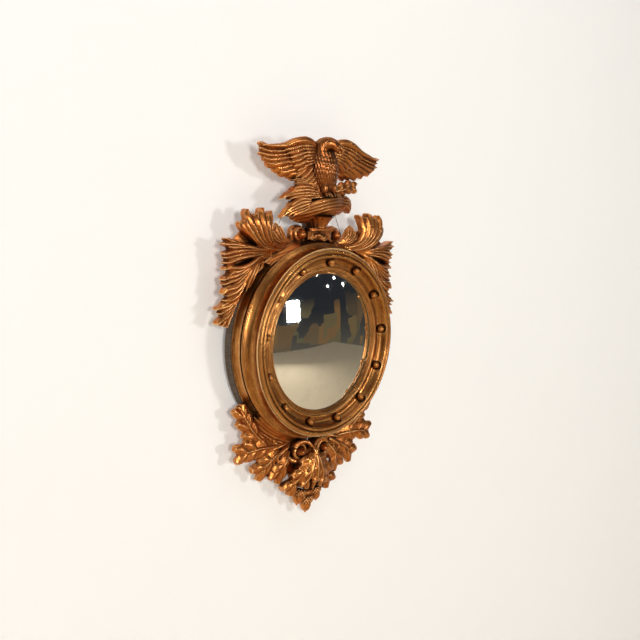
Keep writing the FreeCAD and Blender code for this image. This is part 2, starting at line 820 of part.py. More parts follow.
# Leaf sprigs that spring from the ends of the platform.
SPRIG_HEIGHTS = {
    "platform_sprig_left": ((((-70.0, 16.0), (-84.0, 18.0), (-94.0, 28.0), (-106.0, 30.0)), 13.0, 3),
                            (((-62.0, 14.0), (-76.0, 10.0), (-88.0, 6.0), (-100.0, -2.0)), 12.0, 3)),
    "platform_sprig_right": ((((64.0, 36.0), (76.0, 46.0), (92.0, 64.0), (110.0, 68.0)), 12.0, 4),
                             (((62.0, 38.0), (74.0, 44.0), (86.0, 50.0), (98.0, 50.0)), 9.0, 3)),
}
SPRIG_DEPTHS = {"platform_sprig_left": 22.0, "platform_sprig_right": 24.0}
for name, leaves in SPRIG_HEIGHTS.items():
    placed = [([(x, platform_low + rise) for x, rise in poles], half, lobes)
              for poles, half, lobes in leaves]
    solids = []
    for poles, half, lobes in placed:
        solids += ribbed_frond(poles, half, lobes, SPRIG_DEPTHS[name],
                                num("sprig_thick"), rib_rise / 2)
    whole = solids[0].fuse(solids[1:]).cut(platform).removeSplitter()
    feature(name, max(whole.Solids, key=lambda solid: solid.Volume))

# ---------------------------------------------------------------- eagle


def hoop(centre_x, depth, height, radius_x, radius_y):
    ellipse = Part.Ellipse(ORIGIN, max(radius_x, radius_y), min(radius_x, radius_y))
    wire = Part.Wire([ellipse.toShape()])
    if radius_y > radius_x:
        wire.rotate(ORIGIN, UP, 90)
    wire.translate(Vector(centre_x, -depth, height))
    return wire


# Body sections: sideways shift, forward shift, share of the height, share of the
# largest radius.
EAGLE_BODY = (
    (6.0, 2.0, 0.00, 0.45),
    (4.0, 3.0, 0.10, 0.72),
    (1.0, 4.0, 0.25, 0.94),
    (-1.0, 4.0, 0.42, 1.00),
    (-2.0, 4.0, 0.58, 0.92),
    (-3.0, 4.0, 0.72, 0.74),
    (-3.0, 5.0, 0.84, 0.62),
)
eagle_height = num("eagle_height")
eagle_radius = num("eagle_radius")
body_wires = [hoop(shift, eagle_axis + ahead, eagle_low + share * eagle_height,
                   girth * eagle_radius, girth * eagle_radius * 0.9)
              for shift, ahead, share, girth in EAGLE_BODY]
eagle_body = Part.makeLoft(body_wires, True, False)
wing_back = num("wing_back")
wing_thick = num("wing_thick")
wing_span = num("wing_span")

# Head and neck bend over to the right, with the beak pointing down.
EAGLE_HEAD = (
    (-3.0, 0.84, 17.0, 16.0, 0.0),
    (-1.0, 0.92, 16.0, 15.0, 25.0),
    (7.0, 0.975, 13.0, 13.0, 60.0),
    (17.0, 0.955, 10.5, 11.0, 105.0),
    (24.0, 0.88, 6.5, 6.5, 140.0),
    (26.0, 0.80, 2.2, 2.2, 165.0),
)
head_wires = []
for shift, share, across, deep, lean in EAGLE_HEAD:
    wire = hoop(0.0, 0.0, 0.0, across, deep)
    wire.rotate(ORIGIN, AXIS_Y, lean)
    wire.translate(Vector(shift, -eagle_axis - 5.0, eagle_low + share * eagle_height))
    head_wires.append(wire)
eagle_head = Part.makeLoft(head_wires, True, False)

# Right wing, seen from the front: x as a share of the span, z as a share of the
# eagle's height. The top is one curve, the lower edge has seven feather ends.
WING_TOP = ((0.10, 0.72), (0.22, 1.04), (0.38, 1.02), (0.62, 0.86), (0.85, 0.84), (1.00, 0.76))
WING_FEATHERS = ((0.955, 0.66), (0.90, 0.58), (0.83, 0.52), (0.75, 0.46), (0.66, 0.41),
                 (0.55, 0.38), (0.43, 0.37), (0.10, 0.40))


def wing_point(place):
    return Vector(place[0] * wing_span, 0, eagle_low + place[1] * eagle_height)


top_curve = Part.BSplineCurve()
top_curve.interpolate([wing_point(place) for place in WING_TOP])
wing_edges = [top_curve.toShape()]
ends = [WING_TOP[-1]] + list(WING_FEATHERS)
for start, end in zip(ends[:-1], ends[1:]):
    first, last = wing_point(start), wing_point(end)
    way = last - first
    bow = Vector(way.z, 0, -way.x).normalize() * (-0.16 * way.Length)
    if end == WING_FEATHERS[-1]:
        wing_edges.append(Part.makeLine(first, last))
    else:
        wing_edges.append(Part.Arc(first, (first + last) / 2 + bow, last).toShape())
wing_edges.append(Part.makeLine(wing_point(WING_FEATHERS[-1]), wing_point(WING_TOP[0])))
wing_face = Part.Face(Part.Wire(Part.__sortEdges__(wing_edges)))
wing_face.translate(FORWARD * wing_back)
wing_right = wing_face.extrude(FORWARD * wing_thick)
WING_BONE = ((0.12, 0.80), (0.30, 1.02), (0.55, 0.84), (0.92, 0.80))
bone_poles = [(point.x, point.z) for point in (wing_point(place) for place in WING_BONE)]
wing_bone = frond(bone_poles, num("bone_half"), 1, wing_back, wing_thick + num("bone_rise"))
wing_right = joined([wing_right, wing_bone])

TAIL_SPINE = ((-8.0, 34.0), (-26.0, 26.0), (-40.0, 14.0), (-52.0, 4.0))
tail_leaf = ribbed_frond([(x, eagle_low + rise) for x, rise in TAIL_SPINE], num("tail_half"), 3,
                         num("tail_back"), num("tail_thick"), num("bone_rise"))
tail = tail_leaf[0].fuse(tail_leaf[1])
tail_floor = block(-200.0, 200.0, 0.0, 100.0, eagle_low - 100.0, eagle_low)

eagle_body = eagle_body.cut([eagle_bore])
eagle_body = max(eagle_body.Solids, key=lambda solid: solid.Volume)
eagle_head = eagle_head.cut([eagle_body])
eagle_head = max(eagle_head.Solids, key=lambda solid: solid.Volume)
wing_left = mirrored(wing_right).cut([eagle_body, eagle_head])
wing_left = max(wing_left.Solids, key=lambda solid: solid.Volume)
wing_right = wing_right.cut([eagle_body, eagle_head])
wing_right = max(wing_right.Solids, key=lambda solid: solid.Volume)
tail = tail.cut([eagle_body, wing_left, tail_floor])
tail = max(tail.Solids, key=lambda solid: solid.Volume)
feature("eagle_body", eagle_body)
feature("eagle_head", eagle_head)
feature("eagle_wing_left", wing_left)
feature("eagle_wing_right", wing_right)
feature("eagle_tail", tail)

# ---------------------------------------------------------------- apron

apron_back = num("apron_back")
apron_thick = num("apron_thick")
# Right-hand branch of the apron, in the same terms as the crest's leaves.
APRON_LEAVES = (
    (((-47.0, 6.0), (-43.0, 22.0), (-38.0, 26.0), (-33.0, 16.0)), 17.0, 3),
    (((-60.0, 6.0), (-56.0, 34.0), (-52.0, 64.0), (-47.2, 82.0)), 19.0, 3),
    (((-64.0, 6.0), (-62.0, 36.0), (-60.5, 70.0), (-58.8, 99.0)), 18.0, 3),
    (((-69.0, 6.0), (-69.0, 34.0), (-69.5, 60.0), (-70.5, 88.0)), 19.0, 3),
)
apron_leaves = [([rim_point(*pole) for pole in poles], half, lobes)
                for poles, half, lobes in APRON_LEAVES]
APRON_STEM_SPAN = (-76.0, -40.0)
APRON_WEB_SPAN = (-74.0, -50.0)
apron_stem = rim_band(*APRON_STEM_SPAN, num("stem_width"), apron_back, apron_thick + rib_rise)
apron_web = rim_band(*APRON_WEB_SPAN, num("web_width"), apron_back, apron_thick)
apron_right = carved(apron_leaves, apron_back, apron_thick, rib_rise, [apron_stem, apron_web])

# The drop lies flat on the batten, a little further back than the side boards.
drop_back = batten_depth
drop_thick = apron_thick + apron_back - drop_back
drop_rise = num("drop_rise")
drop_top = -ring_top - 1.0
DROP_LEAVES = (
    (((0.0, -4.0), (-14.0, -30.0), (-36.0, -58.0), (-66.0, -102.0)), 17.0, 3),
    (((0.0, -4.0), (0.0, -40.0), (0.0, -80.0), (0.0, -116.0)), 17.0, 3),
    (((0.0, -4.0), (14.0, -30.0), (36.0, -58.0), (66.0, -102.0)), 17.0, 3),
)
drop_solids = []
for poles, half, lobes in DROP_LEAVES:
    placed = [(x, drop_top + rise) for x, rise in poles]
    drop_solids += ribbed_frond(placed, half, lobes, drop_back, drop_thick, rib_rise + 2.0)
head_half = num("drop_half")
drop_head = block(-head_half, head_half, drop_back, drop_back + drop_thick + drop_rise,
                  drop_top - 34.0, drop_top + 30.0)
head_edges = [edge for edge in drop_head.Edges if edge.BoundBox.ZLength < 1.0
              and edge.BoundBox.XLength > 1.0 and edge.BoundBox.Center.z < drop_top
              and edge.BoundBox.Center.y < -30.0]
drop_head = drop_head.makeChamfer(num("drop_bevel"), head_edges)
apron_drop = drop_solids[0].fuse(drop_solids[1:] + [drop_head]).cut(rim_cutter)
apron_drop = apron_drop.removeSplitter()
apron_drop = max(apron_drop.Solids, key=lambda solid: solid.Volume)

# C-scrolls: a round boss seat inside a curled band on either side of the drop.
scroll_x = num("scroll_offset")
scroll_z = -ring_top - num("scroll_drop")
scroll_outer = num("scroll_radius")
scroll_inner = scroll_outer - num("scroll_wall")
scroll_floor = apron_back + num("scroll_floor")
scroll_ring = Part.makeCylinder(scroll_outer, num("scroll_height"),
                                Vector(scroll_x, -apron_back, scroll_z), FORWARD)
scroll_well = Part.makeCylinder(scroll_inner, 200.0,
                                Vector(scroll_x, -scroll_floor, scroll_z), FORWARD)
apron_scroll = scroll_ring.cut([scroll_well, rim_cutter])
apron_scroll = max(apron_scroll.Solids, key=lambda solid: solid.Volume)
scroll_space = Part.makeCylinder(scroll_outer + rim_fit, 200.0,
                                 Vector(scroll_x, 50.0, scroll_z), FORWARD)
apron_drop = apron_drop.cut([scroll_space, mirrored(scroll_space)])
apron_drop = max(apron_drop.Solids, key=lambda solid: solid.Volume)
apron_right = apron_right.cut([apron_drop, scroll_space])
apron_right = max(apron_right.Solids, key=lambda solid: solid.Volume)
apron_right = apron_right.cut(rim_bores)
apron_right = max(apron_right.Solids, key=lambda solid: solid.Volume)
feature("apron_right", apron_right)
feature("apron_left", mirrored(apron_right))
feature("apron_scroll_right", apron_scroll)
feature("apron_scroll_left", mirrored(apron_scroll))
apron_bosses = [turned_boss(side * scroll_x, scroll_z, scroll_floor,
                            scroll_floor + num("scroll_boss"))
                for side in (1, -1)]
feature("apron_bosses", Part.makeCompound(apron_bosses))

acorn_radius = num("acorn_radius")
acorn_length = num("acorn_length")


def acorn(centre_x, low, depth, lean):
    """An acorn hanging point down: a nut in a wider cup."""
    outline = [Vector(0, 0, 0), Vector(acorn_radius * 0.55, 0, 3.0),
               Vector(acorn_radius * 0.95, 0, acorn_length * 0.3),
               Vector(acorn_radius * 0.98, 0, acorn_length * 0.56),
               Vector(acorn_radius * 1.12, 0, acorn_length * 0.58),
               Vector(acorn_radius * 1.05, 0, acorn_length * 0.8),
               Vector(acorn_radius * 0.4, 0, acorn_length), Vector(0, 0, acorn_length),
               Vector(0, 0, 0)]
    nut = Part.Face(Part.makePolygon(outline)).revolve(ORIGIN, UP, 360)
    nut.rotate(ORIGIN, AXIS_Y, lean)
    nut.translate(Vector(centre_x, -depth, low))
    return nut


acorn_low = -ring_top - num("acorn_drop")
acorn_depth = apron_back + acorn_radius * 1.12
acorn_spread = num("acorn_spread")
side_acorn_low = acorn_low + acorn_length / 2
acorn_bed = frond([(0.0, acorn_low + acorn_length * 2.0), (0.0, acorn_low + acorn_length * 1.6),
                   (0.0, acorn_low + acorn_length), (0.0, acorn_low + acorn_length * 0.4)],
                  acorn_spread, 2, apron_back, acorn_radius)
acorn_cluster = acorn_bed.fuse([
    acorn(0.0, acorn_low, acorn_depth, 0.0),
    acorn(-acorn_spread, side_acorn_low, acorn_depth, 10.0),
    acorn(acorn_spread, side_acorn_low, acorn_depth, -10.0),
]).cut([apron_drop])
feature("acorns", max(acorn_cluster.Solids, key=lambda solid: solid.Volume))
first_apron_hole = first_crest_hole + len(CREST_SCREWS)
feature("apron_drop", apron_drop.cut(batten_holes[first_apron_hole:]))

# ---------------------------------------------------------------- battens, dowels, gear

crest_batten = block(-batten_half, batten_half, 0.0, batten_depth, batten_start,
                     crest_batten_top)
apron_batten = block(-batten_half, batten_half, 0.0, batten_depth, apron_batten_low,
                     -batten_start)
feature("crest_batten", crest_batten.cut(batten_holes))
feature("apron_batten", apron_batten.cut(batten_holes))
feature("batten_screws", Part.makeCompound(batten_screws))
feature("crest_dowels", Part.makeCompound(crest_dowels))
feature("apron_dowels", Part.makeCompound(apron_dowels))
feature("screw_eyes", Part.makeCompound([eye_right, mirrored(eye_right)]))

# Wire: two straight runs from the eyes up to the wall hook, with the hook's arc.
wire_top = ring_top + num("wire_rise")
wire_depth = num("eye_depth")
wire_start = Vector(eye_centre.x, -wire_depth, eye_centre.z)
leg = Vector(-eye_centre.x, 0, wire_top - eye_centre.z).normalize()
leg_turn = math.atan2(leg.z, -leg.x)
hook_radius = num("hook_radius")
arc_start = Vector(hook_radius * math.sin(leg_turn), -wire_depth,
                   wire_top - hook_radius + hook_radius * math.cos(leg_turn))
arc_end = Vector(-arc_start.x, -wire_depth, arc_start.z)
arc_top = Vector(0, -wire_depth, wire_top)
first_way = (arc_start - wire_start).normalize()
wire_start = wire_start + first_way * (num("eye_radius") + num("eye_wire"))
wire_end = Vector(-wire_start.x, -wire_depth, wire_start.z)
wire_path = Part.Wire([
    Part.makeLine(wire_start, arc_start),
    Part.Arc(arc_start, arc_top, arc_end).toShape(),
    Part.makeLine(arc_end, wire_end),
])
wire_section = Part.Wire([Part.Circle(wire_start, first_way, num("wire_radius")).toShape()])
hanging_wire = wire_path.makePipeShell([wire_section], True, False)
feature("hanging_wire", hanging_wire)
wire_volume = math.pi * num("wire_radius") ** 2 * wire_path.Length
print("wire: length %.1f, hook radius %.1f, volume %.1f of %.1f"
      % (wire_path.Length, hook_radius, hanging_wire.Volume, wire_volume))

# ---------------------------------------------------------------- checks and files

doc.recompute()
for item in doc.Objects:
    if "Invalid" in item.State or "Error" in item.State:
        raise RuntimeError("%s failed: %s" % (item.Label, item.State))
broken = [item.Label for item in nodes if item.Shape.isNull() or not item.Shape.isValid()]
if broken:
    raise RuntimeError("no valid shape: %s" % ", ".join(broken))

os.makedirs("parts", exist_ok=True)
for item in nodes:
    item.Shape.exportStep("parts/%s.step" % item.Label)
print("nodes: %d" % len(nodes))
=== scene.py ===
"""The visual model of the convex mirror: carved, gilt and silvered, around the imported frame."""
import random
from math import cos, pi, radians, sin, sqrt, tau

import bmesh
import bpy
from mathutils import Matrix, Vector


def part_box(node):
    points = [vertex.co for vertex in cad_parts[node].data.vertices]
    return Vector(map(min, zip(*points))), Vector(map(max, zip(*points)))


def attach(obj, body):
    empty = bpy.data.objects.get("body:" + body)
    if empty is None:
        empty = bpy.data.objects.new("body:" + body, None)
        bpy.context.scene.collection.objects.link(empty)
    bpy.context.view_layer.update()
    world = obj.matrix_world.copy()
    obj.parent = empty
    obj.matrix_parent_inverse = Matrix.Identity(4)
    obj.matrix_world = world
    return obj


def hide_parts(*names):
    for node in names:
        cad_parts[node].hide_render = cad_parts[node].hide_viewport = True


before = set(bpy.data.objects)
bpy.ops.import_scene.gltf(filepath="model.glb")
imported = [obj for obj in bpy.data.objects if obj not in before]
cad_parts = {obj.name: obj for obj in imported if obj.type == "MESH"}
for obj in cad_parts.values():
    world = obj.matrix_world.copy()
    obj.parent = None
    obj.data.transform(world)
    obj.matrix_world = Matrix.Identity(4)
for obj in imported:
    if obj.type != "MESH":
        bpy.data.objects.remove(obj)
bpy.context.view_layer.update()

MM = 0.001
RIM = 206.0          # outer radius of the ring
CLEAR = RIM + 2.0    # radius that the leaves keep outside
LAP = RIM - 13.0     # radius to which the stems lap over the ring's side
BOARD_BACK = 11.0    # depth of the carved boards' flat backs
FLAT_BACK = 10.0     # depth of the flat backs that lie on the battens
LINK = bpy.context.scene.collection.objects.link
random.seed(7)

# ---- camera, wall, light
CAMERA_PLACE = (-1.31262, -1.34294, 0.24654)
CAMERA_RIGHT = (0.70495, -0.70791, 0.04368)
CAMERA_AHEAD = (0.70770, 0.69798, -0.10948)
CAMERA_LENS = 51.7
SENSOR_WIDTH = 36.0
NEAR_CLIP = 0.01


def placed(name, data):
    """A new object that shows this data."""
    thing = bpy.data.objects.new(name, data)
    LINK(thing)
    return thing


def shaped(name, verts, faces, outward=True):
    """A mesh object from points in millimetres, each as (x, z, depth)."""
    mesh = bpy.data.meshes.new(name)
    mesh.from_pydata([(p[0] * MM, -p[2] * MM, p[1] * MM) for p in verts], [], faces)
    if outward:
        work = bmesh.new()
        work.from_mesh(mesh)
        bmesh.ops.recalc_face_normals(work, faces=work.faces)
        work.to_mesh(mesh)
        work.free()
    return placed(name, mesh)


def ring_faces(first, rings, count):
    """The faces between rings of count points each; first is the first ring's first point."""
    return [(first + i * count + j, first + i * count + (j + 1) % count,
             first + (i + 1) * count + (j + 1) % count, first + (i + 1) * count + j)
            for i in range(rings - 1) for j in range(count)]


def set_camera():
    right = Vector(CAMERA_RIGHT).normalized()
    ahead = Vector(CAMERA_AHEAD).normalized()
    up = right.cross(ahead)
    data = bpy.data.cameras.new("camera")
    data.lens = CAMERA_LENS
    data.sensor_width = SENSOR_WIDTH
    data.clip_start = NEAR_CLIP
    camera = placed("camera", data)
    turn = Matrix((right, up, -ahead)).transposed().to_4x4()
    camera.matrix_world = Matrix.Translation(CAMERA_PLACE) @ turn
    bpy.context.scene.camera = camera


def area_light(name, place, target, width, height, power, colour):
    data = bpy.data.lights.new(name, "AREA")
    data.shape = "RECTANGLE"
    data.size = width
    data.size_y = height
    data.energy = power
    data.color = colour
    lamp = placed(name, data)
    lamp.location = place
    lamp.rotation_euler = (Vector(target) - Vector(place)).to_track_quat("-Z", "Y").to_euler()


def sheet(name, corners, paint):
    """One flat face of the set."""
    mesh = bpy.data.meshes.new(name)
    mesh.from_pydata(corners, [], [(0, 1, 2, 3)])
    thing = placed(name, mesh)
    mesh.materials.append(paint)


def fill(tree, made, **values):
    """Give each named input, with _ for a space, a number, a colour or another node's output."""
    for name, value in values.items():
        feed(tree, made.inputs[name.replace("_", " ")], value)


def feed(tree, socket, value):
    if isinstance(value, bpy.types.NodeSocket):
        tree.links.new(value, socket)
    elif isinstance(value, tuple) and len(socket.default_value) == 4:
        socket.default_value = value + (1.0,)
    else:
        socket.default_value = value


def node(tree, kind, **values):
    made = tree.nodes.new("ShaderNode" + kind)
    fill(tree, made, **values)
    return made


def new_material(name):
    """A material with its node tree, its shader and the object's own coordinates."""
    material = bpy.data.materials.new(name)
    material.use_nodes = True
    tree = material.node_tree
    return (material, tree, tree.nodes["Principled BSDF"],
            node(tree, "TexCoord").outputs["Object"])


def noise(tree, coords, scale, detail=4.0, rough=0.6, stretch=None):
    if stretch:
        coords = node(tree, "Mapping", Scale=stretch, Vector=coords).outputs["Vector"]
    return node(tree, "TexNoise", Scale=scale, Detail=detail, Roughness=rough,
                Vector=coords).outputs["Fac"]


def spread(tree, value, low, high, to_low=0.0, to_high=1.0):
    """The value's range from low to high, mapped evenly and held at its ends."""
    return node(tree, "MapRange", From_Min=low, From_Max=high, To_Min=to_low, To_Max=to_high,
                Value=value).outputs["Result"]


def combine(tree, first, second, how="MULTIPLY", clamp=True):
    """Two values or numbers put together, and held from 0 to 1 where clamp is set."""
    made = node(tree, "Math")
    made.operation = how
    made.use_clamp = clamp
    feed(tree, made.inputs[0], first)
    feed(tree, made.inputs[1], second)
    return made.outputs["Value"]


def blend_colour(tree, amount, first, second):
    made = node(tree, "Mix")
    made.data_type = "RGBA"
    feed(tree, made.inputs["Factor"], amount)
    feed(tree, made.inputs[6], first)
    feed(tree, made.inputs[7], second)
    return made.outputs[2]


def bump(tree, shader, height, strength, distance, under=None):
    """Relief from the height; under is the normal of a coarser relief below it."""
    made = node(tree, "Bump", Strength=strength, Distance=distance, Height=height)
    if under:
        fill(tree, made, Normal=under)
    fill(tree, shader, Normal=made.outputs["Normal"])
    return made.outputs["Normal"]


def round_noise(tree, coords, scale, along_arc, across):
    """Streaks that run round the ring: noise over turn, distance and depth."""
    parts = node(tree, "SeparateXYZ", Vector=coords).outputs
    turn = combine(tree, parts["Z"], parts["X"], "ARCTAN2", False)
    reach = node(tree, "VectorMath")
    reach.operation = "LENGTH"
    feed(tree, reach.inputs[0], coords)
    place = node(tree, "CombineXYZ", X=turn, Y=reach.outputs["Value"], Z=parts["Y"])
    return noise(tree, place.outputs["Vector"], scale, 5.0, 0.65, (along_arc, across, across))


# The dark colour of the gilding's real specks and streaks, and of the shade painted into its
# recesses.
DIRT_AND_SHADE = (0.030, 0.011, 0.005)
CLOUDS = 28.0        # noise scales, in marks per metre
SPECKS = 240.0
GRIT = 900.0
STREAKS = 6.0
# Scales the painted shade and dirt mask, so that no recess takes the dark colour fully.
DEEPEST_SHADE_AND_DIRT = 0.96


def gilt(name, warm, cool, bright, reach, rubbed=1.0, ringed=False):
    """Old burnished gilding: two tones in clouds, rubbed bright crests, and dirt and painted shade
    in the recesses.

    reach is the distance in metres over which ambient occlusion paints shade into a recess; rubbed
    is the share of bright metal on the crests; ringed adds streaks that run round the ring."""
    material, tree, shader, coords = new_material(name)
    clouds = noise(tree, coords, CLOUDS, 5.0, 0.62)
    specks = noise(tree, coords, SPECKS, 3.0, 0.7)
    fine = noise(tree, coords, GRIT, 2.0, 0.6)
    tone = blend_colour(tree, spread(tree, clouds, 0.36, 0.64), warm, cool)
    tone = blend_colour(tree, spread(tree, specks, 0.56, 0.72, 0.0, 0.55), tone, DIRT_AND_SHADE)
    if ringed:
        streaks = round_noise(tree, coords, STREAKS, 1.0, 60.0)
        tone = blend_colour(tree, spread(tree, streaks, 0.48, 0.75, 0.0, 0.4), tone, DIRT_AND_SHADE)
        tone = blend_colour(tree, spread(tree, streaks, 0.44, 0.28, 0.0, 0.3), tone, bright)
    edge = node(tree, "NewGeometry").outputs["Pointiness"]
    # Painted shade: ambient occlusion darkens the colour in the recesses.
    shade = node(tree, "AmbientOcclusion", Distance=reach)
    shade.samples = 8
    shade_and_dirt = spread(tree, shade.outputs["AO"], 0.35, 0.97, 1.0, 0.0)
    if rubbed:
        crest = combine(tree, spread(tree, edge, 0.505, 0.56),
                        spread(tree, specks, 0.3, 0.6, 0.5, 1.0))
        tone = blend_colour(tree, combine(tree, crest, rubbed), tone, bright)
        # Hollow creases are darkened as well, partly as dirt and partly as painted shade.
        shade_and_dirt = combine(tree, shade_and_dirt, spread(tree, edge, 0.455, 0.499, 1.0, 0.0), "MAXIMUM")
    shade_and_dirt = combine(tree, shade_and_dirt, DEEPEST_SHADE_AND_DIRT)
    rough = combine(tree, spread(tree, clouds, 0.3, 0.7, 0.22, 0.34),
                    spread(tree, specks, 0.4, 0.7, 0.0, 0.12), "ADD")
    rough = combine(tree, rough, spread(tree, shade_and_dirt, 0.2, 1.0, 0.0, 0.35), "ADD")
    # The colour goes towards the dark colour where the painted shade and dirt lie.
    fill(tree, shader, Base_Color=blend_colour(tree, shade_and_dirt, tone, DIRT_AND_SHADE), Metallic=0.95,
         Roughness=rough)
    low = bump(tree, shader, specks, 0.35, 0.0006)
    bump(tree, shader, fine, 0.22, 0.0003, low)
    return material


def timber(name, light, dark):
    """Raw wood with upright grain and dark stains."""
    material, tree, shader, coords = new_material(name)
    grain = noise(tree, coords, 35.0, 6.0, 0.65, (1.0, 1.0, 14.0))
    stain = noise(tree, coords, 9.0, 4.0, 0.6)
    tone = blend_colour(tree, spread(tree, grain, 0.35, 0.65), dark, light)
    tone = blend_colour(tree, spread(tree, stain, 0.5, 0.75, 0.0, 0.6), tone, dark)
    fill(tree, shader, Base_Color=tone, Roughness=spread(tree, grain, 0.3, 0.7, 0.72, 0.9))
    bump(tree, shader, grain, 0.4, 0.0006)
    return material


def metal(name, colour, spots, low, high, scale=120.0):
    """Bare metal with darker spots, its roughness from low to high."""
    material, tree, shader, coords = new_material(name)
    marks = noise(tree, coords, scale, 5.0, 0.7)
    tone = blend_colour(tree, spread(tree, marks, 0.5, 0.75), colour, spots)
    fill(tree, shader, Base_Color=tone, Metallic=1.0,
         Roughness=spread(tree, marks, 0.3, 0.75, low, high))
    bump(tree, shader, marks, 0.1, 0.0002)
    return material


def stage_material(name, colour, lift, one_sided):
    """Plain paint for the set.

    lift is the share of its own colour that is added for camera, gloss and glass rays only, and
    one_sided paint can't be seen from behind."""
    material, tree, shader, coords = new_material(name)
    low = tuple(part * 0.97 for part in colour)
    rays = node(tree, "LightPath").outputs
    seen = combine(tree, rays["Is Camera Ray"], rays["Is Glossy Ray"], "ADD")
    seen = combine(tree, seen, rays["Is Transmission Ray"], "ADD")
    fill(tree, shader, Base_Color=blend_colour(tree, noise(tree, coords, 3.0), low, colour),
         Roughness=0.95, Emission_Color=colour, Emission_Strength=combine(tree, seen, lift))
    if one_sided:
        both = node(tree, "MixShader")
        feed(tree, both.inputs[0], node(tree, "NewGeometry").outputs["Backfacing"])
        feed(tree, both.inputs[1], shader.outputs[0])
        feed(tree, both.inputs[2], node(tree, "BsdfTransparent").outputs[0])
        fill(tree, tree.nodes["Material Output"], Surface=both.outputs[0])
    return material


# The room's shades from straight down at 0 to straight up at 1.
ROOM_SHADES = ((0.0, (0.30, 0.27, 0.20)), (0.40, (0.10, 0.09, 0.07)), (0.47, (0.05, 0.047, 0.042)),
               (0.53, (0.022, 0.023, 0.026)), (0.64, (0.018, 0.020, 0.024)),
               (1.0, (0.20, 0.20, 0.205)))
ROOM_BROWN = (0.22, 0.11, 0.04)
ROOM_GREEN = (0.10, 0.11, 0.06)
BLOCK_SCALE = 9.0


def set_world():
    """A dim room: near black at eye level and paler overhead, with blocks of brown and green."""
    world = bpy.data.worlds.new("studio")
    world.use_nodes = True
    tree = world.node_tree
    parts = node(tree, "SeparateXYZ", Vector=node(tree, "TexCoord").outputs["Generated"]).outputs
    height = parts["Z"]
    ramp = node(tree, "ValToRGB", Fac=spread(tree, height, -1.0, 1.0))
    while len(ramp.color_ramp.elements) < len(ROOM_SHADES):
        ramp.color_ramp.elements.new(0.5)
    for element, (place, colour) in zip(ramp.color_ramp.elements, ROOM_SHADES):
        element.position = place
        element.color = colour + (1.0,)
    turn = combine(tree, parts["X"], parts["Y"], "ARCTAN2", False)
    place = node(tree, "CombineXYZ", X=turn, Y=height).outputs["Vector"]
    blocks = node(tree, "TexVoronoi", Scale=BLOCK_SCALE, Vector=place)
    blocks.distance = "CHEBYCHEV"
    pick = node(tree, "SeparateColor", Color=blocks.outputs["Color"]).outputs
    tone = blend_colour(tree, pick["Green"], ROOM_BROWN, ROOM_GREEN)
    band = combine(tree, spread(tree, height, -0.22, -0.12), spread(tree, height, 0.14, 0.04))
    shown = combine(tree, combine(tree, spread(tree, pick["Red"], 0.55, 0.75), 0.8), band)
    fill(tree, tree.nodes["Background"], Strength=1.0,
         Color=blend_colour(tree, shown, ramp.outputs["Color"], tone))
    bpy.context.scene.world = world


WALL_LOW = 0.003     # the wall's distance behind the mirror at the apron's foot
WALL_LEAN = 0.045    # how much further back the wall is for each metre up
APRON_FOOT = -0.30
WALL_HALF = 3.0
WALL_TOP = 2.0
FLOOR_LEVEL = -1.2
FLOOR_HALF = 7.0
FLOOR_FRONT = -6.2
FLOOR_BACK = -0.037
WHITE = (1.0, 1.0, 1.0)
ORIGIN = (0.0, 0.0, 0.0)
# Name, place, target, width, height, power and colour.
LAMPS = (
    ("key", (-2.32, -4.36, 0.76), (0.0, 0.0, 0.05), 0.7, 0.7, 94.0, (1.0, 0.99, 0.975)),
    ("window", (1.90, -4.05, 0.40), (0.0, 0.0, 0.05), 0.50, 0.62, 46.0, WHITE),
    ("fill", (-2.4, -1.6, 1.2), ORIGIN, 1.6, 1.6, 7.0, WHITE),
    ("top", (0.2, -1.2, 2.4), (0.0, 0.0, 0.1), 1.3, 1.3, 9.0, WHITE),
    ("back", (-0.8, 2.4, 1.2), ORIGIN, 2.0, 2.0, 34.0, WHITE),
)
CEILING_SPOTS = ((41, 17), (46, 12), (51, 14), (56, 11))    # turn and rise in degrees
SPOT_REACH = 4.0
SPOT_SIZE = (0.045, 0.032)
SPOT_POWER = 0.8
SPOT_COLOUR = (1.0, 0.93, 0.82)


def wall_corner(side, z):
    return (side * WALL_HALF, WALL_LOW + WALL_LEAN * (z - APRON_FOOT), z)


sheet("wall", [wall_corner(-1, FLOOR_LEVEL), wall_corner(1, FLOOR_LEVEL),
               wall_corner(1, WALL_TOP), wall_corner(-1, WALL_TOP)],
      stage_material("wall_paint", (0.91, 0.90, 0.875), 0.22, True))
sheet("floor", [(-FLOOR_HALF, FLOOR_FRONT, FLOOR_LEVEL), (FLOOR_HALF, FLOOR_FRONT, FLOOR_LEVEL),
                (FLOOR_HALF, FLOOR_BACK, FLOOR_LEVEL), (-FLOOR_HALF, FLOOR_BACK, FLOOR_LEVEL)],
      stage_material("floor_paint", (0.74, 0.60, 0.40), 0.14, False))
set_camera()
set_world()
for lamp in LAMPS:
    area_light(*lamp)
for spot_turn, spot_rise in CEILING_SPOTS:
    az = radians(spot_turn)
    el = radians(spot_rise)
    spot = (SPOT_REACH * sin(az) * cos(el), -SPOT_REACH * cos(az) * cos(el),
            SPOT_REACH * sin(el))
    area_light("ceiling_spot_%d" % spot_turn, spot, ORIGIN, *SPOT_SIZE, SPOT_POWER, SPOT_COLOUR)
bpy.context.scene.view_settings.view_transform = "Standard"

